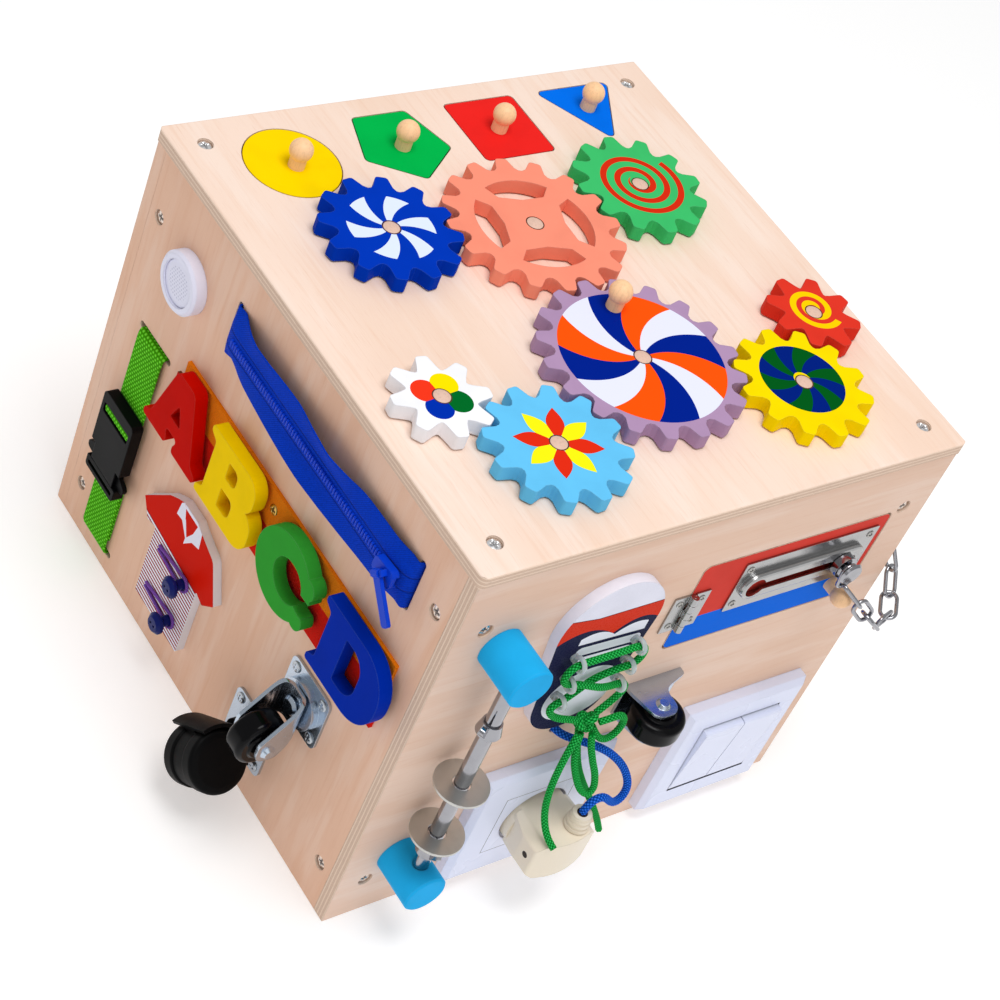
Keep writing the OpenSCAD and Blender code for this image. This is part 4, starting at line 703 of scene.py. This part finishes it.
def shirt_print():
    """Red shoulders with a white collar, thin stripes below."""
    f = painted("paint_shirt", (238, 238, 246), rough=0.3, edge=0.5)
    u = f.y * -1
    slope, stripe = 0.083, 2.35
    face = f.nx < -0.5
    chest = f.z > (u + 43) * -slope + 75
    f.layer(face & (((f.z + u * slope) / stripe).part() < 0.45), (150, 22, 44))
    f.layer(face & chest, (208, 26, 8))
    for corners in COLLAR:
        f.layer(face & inside(u, f.z, corners), (232, 232, 246))
    return f.done()


buttons = plastic("button_navy", (14, 26, 98), rough=0.22, grain=0.02, shine=0.12).done()
dress("shirt_board", shirt_print(), buttons, pick=lambda c, n: c.x < LEFT - 5.1)


def shoe_print():
    """White toe, red band, navy below with pale bars and a pale heel."""
    f = painted("paint_shoe", (232, 232, 246), rough=0.26, edge=0.5)
    face = f.ny < -0.5
    x, z = f.x, f.z
    navy, pale = (34, 36, 66), (232, 234, 246)
    slope = 0.055

    def hump(middle, top, fall):
        """1 below an arch."""
        return z < (x - middle) * (x - middle) * -fall + top

    def pill(middle, half, height, radius):
        """1 in a bar with round ends."""
        past = (abs(x - middle) - half).do("MAXIMUM", 0.0)
        level = z + (x + 55) * slope - height
        return (past * past + level * level) < radius**2

    line = (x + 67).do("MINIMUM", 0.0) * -0.18 + 211.7
    f.layer(face & (z < line + 0.5), (60, 24, 24))
    f.layer(face & (z < line), (212, 54, 32))
    f.layer(face & (hump(-71.5, 204, 0.021) | hump(-37, 203, 0.0295)), navy)
    bar = (hump(-64, 200.4, 0.03) | hump(-38, 199.6, 0.03)) & (z + (x + 55) * slope > 193.2)
    f.layer(face & bar & (abs(x + 51.5) < 20.5), pale)
    f.layer(face & pill(-51, 16.9, 187.6, 3.1), pale)
    f.layer(face & pill(-50.5, 13.5, 179.7, 3.0), pale)
    heel = (x + 53) * (x + 53) / 22.0**2 + (z - 152) * (z - 152) / 19.0**2
    f.layer(face & (heel < 1.0), pale)
    return f.done()


dress("shoe_board", shoe_print())


# Meshes

def add(name, points, quads, material, body, smooth=True, height=None):
    """A new piece from points in millimetres, riding on a body if any. Height marks the high parts of a weave
    or screw."""
    mesh = bpy.data.meshes.new(name)
    mesh.from_pydata((np.asarray(points, float) * MM).tolist(), [], quads)
    mesh.materials.append(material)
    if smooth:
        mesh.shade_smooth()
    if height is not None:
        marks = mesh.attributes.new("height", "FLOAT", "POINT")
        marks.data.foreach_set("value", np.ravel(height).astype(np.float32))
    obj = bpy.data.objects.new(name, mesh)
    bpy.context.scene.collection.objects.link(obj)
    if body:
        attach(obj, body)
    return obj


def net(rows, columns):
    """Quads of a grid of points whose rows are closed rings."""
    quads = []
    for i in range(rows - 1):
        for j in range(columns):
            k, m = i + 1, (j + 1) % columns
            quads.append((i * columns + j, i * columns + m, k * columns + m, k * columns + j))
    return quads


def smooth_path(points, step):
    """Points about a step apart on a smooth curve through the given ones."""
    p = np.asarray(points, float)
    p = np.vstack([2 * p[0] - p[1], p, 2 * p[-1] - p[-2]])
    out = []
    for a, b, c, d in zip(p, p[1:], p[2:], p[3:]):
        t = np.linspace(0, 1, 24, endpoint=False)[:, None]
        out.append(0.5 * (2 * b + (c - a) * t + (2 * a - 5 * b + 4 * c - d) * t**2
                          + (3 * b - a - 3 * c + d) * t**3))
    line = np.vstack([*out, p[-2][None]])
    run = np.r_[0, np.cumsum(np.linalg.norm(np.diff(line, axis=0), axis=1))]
    even = np.linspace(0, run[-1], max(2, int(run[-1] / step) + 1))
    return np.column_stack([np.interp(even, run, line[:, k]) for k in range(3)]), even


def frames(line):
    """Directions across a line that turn with it and don't twist."""
    ahead = np.gradient(line, axis=0)
    ahead /= np.linalg.norm(ahead, axis=1)[:, None]
    side = np.cross(ahead[0], (0.3, 0.2, 0.93))
    out = []
    for a in ahead:
        side = side - a * (side @ a)
        side /= np.linalg.norm(side)
        out.append((side, np.cross(a, side)))
    return np.array(out)


def braid_height(turn, run, strands, pitch):
    """Relief of a braid from 0 to 1: two sets of strands that pass over and under each other."""
    a = strands * turn + run / pitch
    b = strands * turn - run / pitch
    round_a = np.sqrt(np.clip(1 - (2 * (a % 1) - 1) ** 2, 0, 1))
    round_b = np.sqrt(np.clip(1 - (2 * (b % 1) - 1) ** 2, 0, 1))
    over_a = 1 + 0.8 * np.sin(np.pi * (b + np.floor(a)))
    over_b = 1 - 0.8 * np.sin(np.pi * (a + np.floor(b)))
    return np.maximum(round_a * over_a, round_b * over_b) / 1.8


def rope(name, points, diameter, material, body, strands=6, pitch=2.0, depth=0.2, step=0.4, sides=40,
         caps=True, ease=0.0):
    """A braided cord along a route, its bends eased over a length. Returns the piece and its middle line in
    millimetres."""
    line, run = smooth_path(points, step)
    for _ in range(int(2 * (ease / step)**2)):
        line[1:-1] = (line[:-2] + 2 * line[1:-1] + line[2:]) / 4
    across = frames(line)
    turn = np.arange(sides) / sides
    relief = braid_height(turn[None, :], run[:, None], strands, pitch)
    radius = diameter / 2 * (1 - depth + depth * relief)
    ring = np.cos(2 * np.pi * turn)[None, :, None] * across[:, None, 0] \
        + np.sin(2 * np.pi * turn)[None, :, None] * across[:, None, 1]
    points = (line[:, None] + ring * radius[:, :, None]).reshape(-1, 3)
    quads = net(len(line), sides)
    height = relief.ravel()
    if caps:
        points = np.vstack([points, line[0], line[-1]])
        height = np.r_[height, 0.5, 0.5]
        last = (len(line) - 1) * sides
        quads += [((j + 1) % sides, j, len(points) - 2) for j in range(sides)]
        quads += [(last + j, last + (j + 1) % sides, len(points) - 1) for j in range(sides)]
    return add(name, points, quads, material, body, height=height), line


def route(points):
    """Places of a route given as across, up and out on the front face."""
    return [on_face("front", *p) for p in points]


# Cords

LACE_D = 3.8
CORD_D = 4.4
EASE = 3.0
# Middles of the lace's parts: across, up and out on the front face
LACE = {
    "run": [
        [-53.5, 138.5, 12.5], [-58, 140.5, 12], [-66, 144, 11.5], [-72.5, 148.5, 11], [-76, 154, 11],
        [-75, 157.5, 11], [-71, 158, 11], [-62, 160.5, 9.6], [-52.5, 164.8, 8.6], [-43, 169, 9.6],
        [-34.5, 171.5, 11], [-30.5, 173, 11], [-28.5, 178.7, 11], [-30.5, 184.5, 11], [-34.5, 186, 11],
        [-43, 186.2, 11.2], [-52.7, 186.3, 11.3], [-62, 186.2, 11.2], [-71, 186, 11], [-75, 184.5, 11],
        [-77, 178.7, 11], [-75, 173, 11], [-71, 171.5, 11], [-62, 169, 12.4], [-52.5, 164.8, 13.5],
        [-43, 160.5, 12.4], [-34.5, 158, 11], [-30.5, 156.8, 11], [-28.5, 152, 11], [-31.5, 146.5, 11.2],
        [-36.5, 142.5, 11.6], [-41.8, 139.3, 12.2]],
    "bow_side": [
        [-41.1, 136.3, 16], [-35.5, 138, 17], [-28.5, 137.2, 16.5], [-23.3, 132, 16], [-22, 125, 16],
        [-25.5, 119, 16.3], [-31.5, 118.8, 16.5], [-37, 123.8, 15.8], [-42.3, 131.8, 14.4]],
    "bow_long": [
        [-49.2, 129.9, 15.2], [-49.5, 121, 17], [-47.5, 110, 19.5], [-44, 100, 22.5], [-40, 92.5, 25],
        [-35.5, 89.3, 26.5], [-33.2, 93.5, 26.5], [-35.5, 103, 25], [-39.5, 113, 22.5], [-43, 123, 20],
        [-45, 131.6, 18.3]],
    "tail_left": [
        [-53.1, 132.9, 16.9], [-55.8, 125.5, 18.5], [-57.3, 115, 19.5], [-58, 104, 20.5], [-58, 93, 21.8],
        [-57.5, 82.5, 24], [-56.5, 73.5, 28], [-55.5, 68, 33.2], [-55, 66.9, 38]],
    "tail_right": [
        [-46.7, 129.2, 10.4], [-45.5, 122, 12.2], [-43, 111, 14.8], [-39, 100, 17], [-33, 89, 18.4],
        [-26, 78, 19], [-19.5, 68, 19.8], [-13.5, 58, 21.2], [-8.5, 48.5, 23], [-5.5, 41.5, 24.5]],
}
KNOT = (-47.5, 136, 13)
lace_green = fabric("lace_green", (8, 184, 66), thread=2.5, gap_shade=0.85).done()
cord_blue = fabric("cord_blue", (8, 98, 232), thread=2.5, gap_shade=0.75).done()


def knot():
    """The lace's knot: a cord wound through itself."""
    t = np.linspace(0, 2 * np.pi, 220)
    turns = np.column_stack([
        np.sin(t) + 2 * np.sin(2 * t), np.cos(t) - 2 * np.cos(2 * t), -1.6 * np.sin(3 * t)])
    a, b, c = (np.array(d, float) for d in FACES["front"])
    line = on_face("front", *KNOT) + turns @ np.array([1.8 * a, 1.7 * b, 1.4 * c])
    return rope("lace_knot", line, LACE_D, lace_green, "cube", caps=False)[0]


knot_piece = knot()
for part, points in LACE.items():
    piece, line = rope(f"lace_{part}", route(points), LACE_D, lace_green,
                       None if part == "tail_left" else "cube", ease=0.0 if part == "bow_long" else EASE)
    line[0] * MM
    (line * MM).tolist()
    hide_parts("shoe_lace")
    if part == "tail_left":
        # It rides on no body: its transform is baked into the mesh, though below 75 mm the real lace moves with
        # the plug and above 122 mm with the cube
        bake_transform(piece)
tether, line = rope("tether", route(PLUG_ROUTE), CORD_D, cord_blue, None, pitch=1.9, ease=EASE)
line[0] * MM
(line * MM).tolist()
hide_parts("plug_cord")
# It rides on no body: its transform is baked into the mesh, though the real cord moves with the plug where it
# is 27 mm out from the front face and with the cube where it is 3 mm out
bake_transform(tether)

# Straps, zipper and elastic loops

STRAP_Y = 106
STRAP_W = 25
# Weave of the strap: a rib along it, a yarn across it, half its thickness in the gaps and what the yarn adds
RIB, YARN = 1.9, 2.4
WEB_HALF, WEB_RISE = 0.45, 0.25


def slab(name, centre, normal, half, material, body, height=None):
    """A closed sheet about a grid of points, half as thick each way along the normals."""
    rows, columns = centre.shape[:2]
    front = centre + normal * half[..., None]
    back = centre - normal * half[..., None]
    ring = np.concatenate([front, back[:, ::-1]], axis=1).reshape(-1, 3)
    quads = net(rows, 2 * columns)
    for first in (0, (rows - 1) * 2 * columns):
        for j in range(columns - 1):
            quads.append((first + j, first + j + 1, first + 2 * columns - 2 - j, first + 2 * columns - 1 - j))
    if height is not None:
        height = np.concatenate([height, height[:, ::-1]], axis=1)
    return add(name, ring, quads, material, body, height=height)


def webbing(name, path, body):
    """Woven strap on the left face along a path given as up and out."""
    line, run = smooth_path([(0, up, out) for up, out in path], 0.45)
    ahead = np.gradient(line, axis=0)
    ahead /= np.linalg.norm(ahead, axis=1)[:, None]
    across = np.linspace(-STRAP_W / 2, STRAP_W / 2, 58)
    centre = np.empty((len(line), len(across), 3))
    centre[..., 0] = LEFT - line[:, None, 2]
    centre[..., 1] = STRAP_Y + across[None, :]
    centre[..., 2] = line[:, None, 1]
    normal = np.zeros_like(centre)
    normal[..., 0] = ahead[:, None, 1]
    normal[..., 2] = ahead[:, None, 2]
    row = np.floor(run / RIB)[:, None]
    rib = np.abs(np.sin(np.pi * run / RIB))[:, None]
    knot_row = np.abs(np.sin(np.pi * (across[None, :] / YARN + row * 0.5)))
    weave = np.sqrt(rib * knot_row)
    half = WEB_HALF + WEB_RISE * weave
    half *= np.clip((STRAP_W / 2 - np.abs(across)) / 0.6, 0.35, 1)[None, :]
    piece = slab(name, centre, normal, half, web_green, body, weave)
    return piece


web_green = fabric("web_green", (94, 216, 10), thread=1.6, gap_shade=0.6).done()
upper_run = webbing("strap_upper_run", [
    (158, -9), (158, -0.5), (157.1, 1.5), (154, 2.25), (148, 2.35), (130, 2.35), (113, 2.35)], "cube")
upper_fold = webbing("strap_upper_fold", [
    (113, 2.35), (107.4, 2.4), (105.5, 3.4), (105.1, 7.4), (104.2, 8.7), (101.8, 8.7), (100.9, 7.4),
    (100.5, 3.4), (98.6, 2.4), (94, 2.35)], "buckle_upper")
lower_run = webbing("strap_lower_run", [
    (12, -9), (12, -0.3), (12.8, 1.5), (16, 2.2), (24, 2.35), (56, 2.35), (60.4, 2.6), (61.1, 4), (61.2, 6.4),
    (61.8, 7.1), (62.4, 6.4), (62.3, 2.5), (61.2, 1.2), (58, 1.0), (22, 1.0)], "cube")
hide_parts("strap_upper")
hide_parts("strap_upper")
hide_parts("strap_lower")
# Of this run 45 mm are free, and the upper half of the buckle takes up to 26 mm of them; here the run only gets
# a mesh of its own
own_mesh(upper_run)

TAPE_Z = 219
TAPE_HALF = 15
TAPE_HALF_THICK = 0.4
SEAM = 4.6
# Middle of the tape: across and out on the left face
TAPE = [
    (-53.5, -9), (-53.5, -1), (-52.4, 2.4), (-48.5, 4.7), (-42, 5.7), (-20, 5.75), (30, 5.75), (80, 5.75),
    (102, 5.75), (109.5, 4.7), (113.4, 2.4), (114.5, -1), (114.5, -9)]
# How far out the tape's edges stand: places across, and heights there
UPPER_EDGE = (
    (-48, -37, -27, -15, 0, 13, 28, 45, 58, 70, 85, 99, 112),
    (0, 5, 7.6, 7.4, 6.2, 5.8, 8, 9.8, 7.6, 4.4, 3.8, 3.6, 1))
LOWER_EDGE = (
    (-46, -38, -30, -15, 1, 16, 31, 50, 67, 82, 97, 112),
    (0, 2.6, 4.3, 6, 7.6, 8.8, 9.4, 8.4, 7, 5.6, 4.6, 1))
# Ends of the chain of teeth, step between teeth, half length and half width of one
TEETH = -44, 108
TOOTH_STEP = 2.0
TOOTH_U, TOOTH_V = 0.75, 2.1


def zipper_cloth():
    """Blue twill with a seam beside the teeth, darker in the twill's grooves and in the seam's groove as
    painted shade.
    """
    f = fabric("zip_cloth", (2, 62, 206), thread=1.2)
    twill = ((f.y + f.z) * (2 * math.pi / 1.3)).sin() * 0.5 + 0.5
    seam = abs(abs(f.z - TAPE_Z) - SEAM).ramp(0.1, 0.7)
    # Painted shade in the twill's grooves
    f.layer((~twill) * 0.35, (2, 26, 110))
    # Painted shade in the seam's groove
    f.layer((~seam) * 0.6, (2, 30, 118))
    f.relief(twill, 0.12)
    f.relief(seam, 0.35)
    return f.done()


def zipper_tape():
    """Tape that waves at its edges and goes into a slot at each end. Returns its middle: across and out."""
    middle, run = smooth_path([(u, w, 0) for u, w in TAPE], 0.7)
    u, w = middle[:, 0], middle[:, 1]
    upper = np.interp(u, *UPPER_EDGE)
    lower = np.interp(u, *LOWER_EDGE)
    for _ in range(30):
        upper[1:-1] = (upper[:-2] + 2 * upper[1:-1] + upper[2:]) / 4
        lower[1:-1] = (lower[:-2] + 2 * lower[1:-1] + lower[2:]) / 4
    free = np.clip((w - 0.5) / 4.5, 0, 1)
    t = np.linspace(-1, 1, 45)
    edge = np.clip((np.abs(t) - 0.36) / 0.64, 0, 1) ** 1.4
    wave = np.where(t > 0, upper[:, None] - w[:, None], lower[:, None] - w[:, None])
    out = w[:, None] + free[:, None] * edge[None, :] * wave
    centre = np.empty((len(u), len(t), 3))
    centre[..., 0] = LEFT - out
    centre[..., 1] = -u[:, None]
    centre[..., 2] = TAPE_Z + TAPE_HALF * t[None, :]
    along = np.gradient(centre, axis=0)
    over = np.gradient(centre, axis=1)
    normal = np.cross(over, along)
    normal /= np.linalg.norm(normal, axis=2)[..., None]
    half = np.full(out.shape, TAPE_HALF_THICK)
    tape = slab("zipper_tape_cloth", centre, normal, half, zipper_cloth(), "cube")
    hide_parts("zipper_tape")
    return u, w


def zipper_teeth(u, w):
    """Closed chain of teeth along the tape's middle."""
    points, quads = [], []
    for place in np.arange(*TEETH, TOOTH_STEP):
        low = float(np.interp(place, u, w)) + 0.2
        first = len(points)
        for shrink, rise in ((0, 0), (0, 1.0), (0.35, 1.5)):
            a, b = TOOTH_U - shrink, TOOTH_V - shrink
            for du, dv in ((-a, -b), (a, -b), (a, b), (-a, b)):
                points.append((LEFT - low - rise, -(place + du), TAPE_Z + dv))
        for level in (0, 4):
            for j in range(4):
                quads.append((first + level + j, first + level + (j + 1) % 4,
                              first + level + 4 + (j + 1) % 4, first + level + 4 + j))
        quads.append(tuple(first + 8 + j for j in range(4)))
    add("zipper_teeth", points, quads, zip_blue, "cube", smooth=False)


zipper_teeth(*zipper_tape())

ELASTIC_D = 1.8
ELASTIC_BEND = 4.2
ELASTIC_OUT = 5.95
elastic_purple = fabric("elastic_purple", (142, 84, 196), thread=3.0, gap_shade=0.7).done()
for name, u, v in (("upper", -22.1, 68.5), ("lower", -23.3, 38.5)):
    arc = [(ELASTIC_BEND * math.cos(a), ELASTIC_BEND * math.sin(a))
           for a in np.linspace(-math.pi / 2, math.pi / 2, 9)]
    flat = [(-26, -1.2), (-18, -2.1), (-9, -3.1), *arc, (-9, 3.1), (-18, 2.1), (-26, 1.2)]
    points = [on_face("left", u + a, v + b, ELASTIC_OUT) for a, b in flat]
    piece, line = rope(f"elastic_{name}", points, ELASTIC_D, elastic_purple, "cube", pitch=1.0, depth=0.14,
                       step=0.22, sides=28)
    line[0] * MM
    (line * MM).tolist()
    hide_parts("shirt_loops")


# Screws

def islands(obj):
    """Low and high corners of each loose part of a solid, in millimetres."""
    mesh = obj.data
    root = list(range(len(mesh.vertices)))

    def find(i):
        while root[i] != i:
            root[i] = root[root[i]]
            i = root[i]
        return i

    spots = {}
    for i, v in enumerate(mesh.vertices):
        j = spots.setdefault(tuple(round(c, 6) for c in v.co), i)
        root[find(i)] = find(j)
    for e in mesh.edges:
        root[find(e.vertices[0])] = find(e.vertices[1])
    parts = {}
    for i, v in enumerate(mesh.vertices):
        parts.setdefault(find(i), []).append(v.co)
    return [(np.min(p, axis=0) / MM, np.max(p, axis=0) / MM) for p in (np.array(q) for q in parts.values())]


def screw_heads(name, places, material, body, radius, rise):
    """Domed heads with a cross recess. A place is a face and the middle of the head's seat."""
    sides, rings = 40, 14
    r = np.linspace(0, 1, rings + 1)[1:, None]
    turn = np.arange(sides)[None, :] / sides * 2 * np.pi
    x, y = r * np.cos(turn), r * np.sin(turn)

    def arm(a, b):
        """1 in one slot of the recess, as shares of the radius."""
        return np.clip((0.2 - np.abs(a)) / 0.08, 0, 1) * np.clip((0.66 - np.abs(b)) / 0.14, 0, 1)

    cross = np.maximum(arm(x, y), arm(y, x))
    z = rise * (1 - 0.6 * r**2) - cross * rise * 0.75
    z = np.where(r > 0.99, -0.3, z)
    flat = np.vstack([np.column_stack([(radius * x).ravel(), (radius * y).ravel(), z.ravel()]),
                      [[0, 0, rise * 0.25]]])
    one = net(len(r), sides) + [(len(flat) - 1, j, (j + 1) % sides) for j in range(sides)]
    points, quads = [], []
    for face, seat in places:
        first = sum(len(p) for p in points)
        points.append(np.asarray(seat) + flat @ np.array(FACES[face], float))
        quads += [tuple(first + i for i in q) for q in one]
    height = np.r_[(1 - cross - (r > 0.99)).ravel(), 0]
    return add(name, np.vstack(points), quads, material, body, height=np.tile(height, len(places)))


def recess(f):
    """1 in a screw's recess and under its rim, where painted shade goes."""
    return (~f.attribute("height")).ramp(0.1, 0.9)


def screw_metal(name, colour):
    """Plated screw, with painted shade in the recess and under the rim."""
    f = metal(name, colour, rough=0.24)
    # Painted shade in the recess and under the rim
    f.layer(recess(f) * 0.85, (34, 32, 34))
    return f.done()


def panel_screw_metal():
    """Plated panel screw in lit and shaded copies: paler on the top face and browner on the sides as painted
    reflection, with deeper painted shade in the recess on the sides.
    """
    f = metal("screw_panel_painted_light", (228, 213, 202), rough=0.24)
    top = f.z > TOP - 3
    # Painted reflection: paler on the top face
    f.layer(top, (252, 252, 254))
    # Painted shade in the recess, deeper on the sides than on the top
    f.layer(recess(f) * (top * -0.35 + 0.8), (52, 50, 54))
    return f.done()


SCREW_SUNK = 0.9


def panel_places():
    """Face and seat of each panel screw, from the solids of the screws."""
    out = []
    for low, high in islands(nodes["panel_screws"]):
        middle = (low + high) / 2
        away = {
            "top": TOP - high[2], "left": low[0] - LEFT, "right": -LEFT - high[0],
            "front": low[1] - FRONT, "back": -FRONT - high[1]}
        face = min(away, key=lambda k: abs(away[k]))
        axis = np.array(FACES[face][2], float)
        seat = np.where(np.abs(axis) > 0.5, np.where(axis > 0, high, low), middle)
        out.append((face, seat - axis * SCREW_SUNK))
    return out


screw_zinc = screw_metal("screw_zinc", (178, 184, 190))
screw_nickel = screw_metal("screw_nickel", (176, 174, 170))
screw_brass = screw_metal("screw_brass", (206, 168, 92))
heads = screw_heads("panel_screw_heads", panel_places(), panel_screw_metal(), "cube", radius=3.8, rise=1.0)
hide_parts("panel_screws")
# Other screws: thickness of the metal under them, and their places on the faces
SHEET = 1.1
HINGE_Z = 178.5, 194.5
TRACK_X, TRACK_Z = (34, 115), (181, 206)
CASTER_PLATES = (81.7, 95.7), (54.5, 38.5)
CORNERS = [(a, b) for a in (-12.5, 12.5) for b in (-12.5, 12.5)]
hinge_fixed = [("front", on_face("front", -6.3, z, SHEET)) for z in HINGE_Z]
hinge_door = [("front", on_face("front", 7.7, z, SHEET)) for z in HINGE_Z]
track = [("front", on_face("front", x, z, SHEET)) for x in TRACK_X for z in TRACK_Z]
casters = [("left", on_face("left", u + a, v + b, 1.6)) for u, v in CASTER_PLATES for a, b in CORNERS]
strips = [("left", on_face("left", 17, 165.5, 2.0))]
screw_heads("hinge_screws_fixed", hinge_fixed, screw_nickel, "cube", radius=2.1, rise=0.8)
screw_heads("hinge_screws_door", hinge_door, screw_nickel, "door", radius=2.1, rise=0.8)
screw_heads("track_screws", track, screw_nickel, "door", radius=2.3, rise=0.9)
screw_heads("caster_screws", casters, screw_zinc, "cube", radius=3.2, rise=1.3)
screw_heads("strip_screws", strips, screw_brass, "cube", radius=3.0, rise=0.9)


# Camera, fitted to the box's corners in the photo

camera = bpy.data.objects.new("camera", bpy.data.cameras.new("camera"))
bpy.context.scene.collection.objects.link(camera)
bpy.context.scene.camera = camera
camera.data.lens = 88.39
camera.data.sensor_width = 36
camera.data.clip_end = 20
camera.matrix_world = Matrix((
    (0.79230, 0.20673, -0.57404, -0.733666), (-0.52405, 0.71241, -0.46673, -0.613951),
    (0.31247, 0.67062, 0.67278, 0.986308), (0, 0, 0, 1)))


# Stage

def floor():
    """White floor that keeps the object's shadow."""
    mesh = bpy.data.meshes.new("floor")
    mesh.from_pydata([(-6, -6, 0), (6, -6, 0), (6, 6, 0), (-6, 6, 0)], [], [(0, 1, 2, 3)])
    obj = bpy.data.objects.new("floor", mesh)
    bpy.context.scene.collection.objects.link(obj)
    material = bpy.data.materials.new("floor_white")
    material.use_nodes = True
    shader = material.node_tree.nodes["Principled BSDF"]
    shader.inputs["Base Color"].default_value = (0.8, 0.8, 0.8, 1)
    shader.inputs["Roughness"].default_value = 0.9
    shader.inputs["Emission Color"].default_value = (1, 1, 1, 1)
    shader.inputs["Emission Strength"].default_value = 0.35
    mesh.materials.append(material)


def lamp(name, place, target, size, power):
    """Round soft light that faces its target."""
    light = bpy.data.lights.new(name, "AREA")
    light.shape = "DISK"
    light.size = size
    light.energy = power
    obj = bpy.data.objects.new(name, light)
    obj.location = place
    obj.rotation_euler = (Vector(target) - Vector(place)).to_track_quat("-Z", "Y").to_euler()
    bpy.context.scene.collection.objects.link(obj)


floor()
lamp("key", place=(-0.1, -0.3, 1.9), target=(0, 0, 0.2), size=1.0, power=17.5)
lamp("fill", place=(-0.5, -1.9, 0.9), target=(0, 0, 0.15), size=1.6, power=4)
world = bpy.data.worlds.new("studio")
bpy.context.scene.world = world
world.use_nodes = True
world.node_tree.nodes["Background"].inputs["Color"].default_value = (1, 1, 1, 1)
world.node_tree.nodes["Background"].inputs["Strength"].default_value = 0.5
bpy.context.scene.view_settings.view_transform = "Standard"
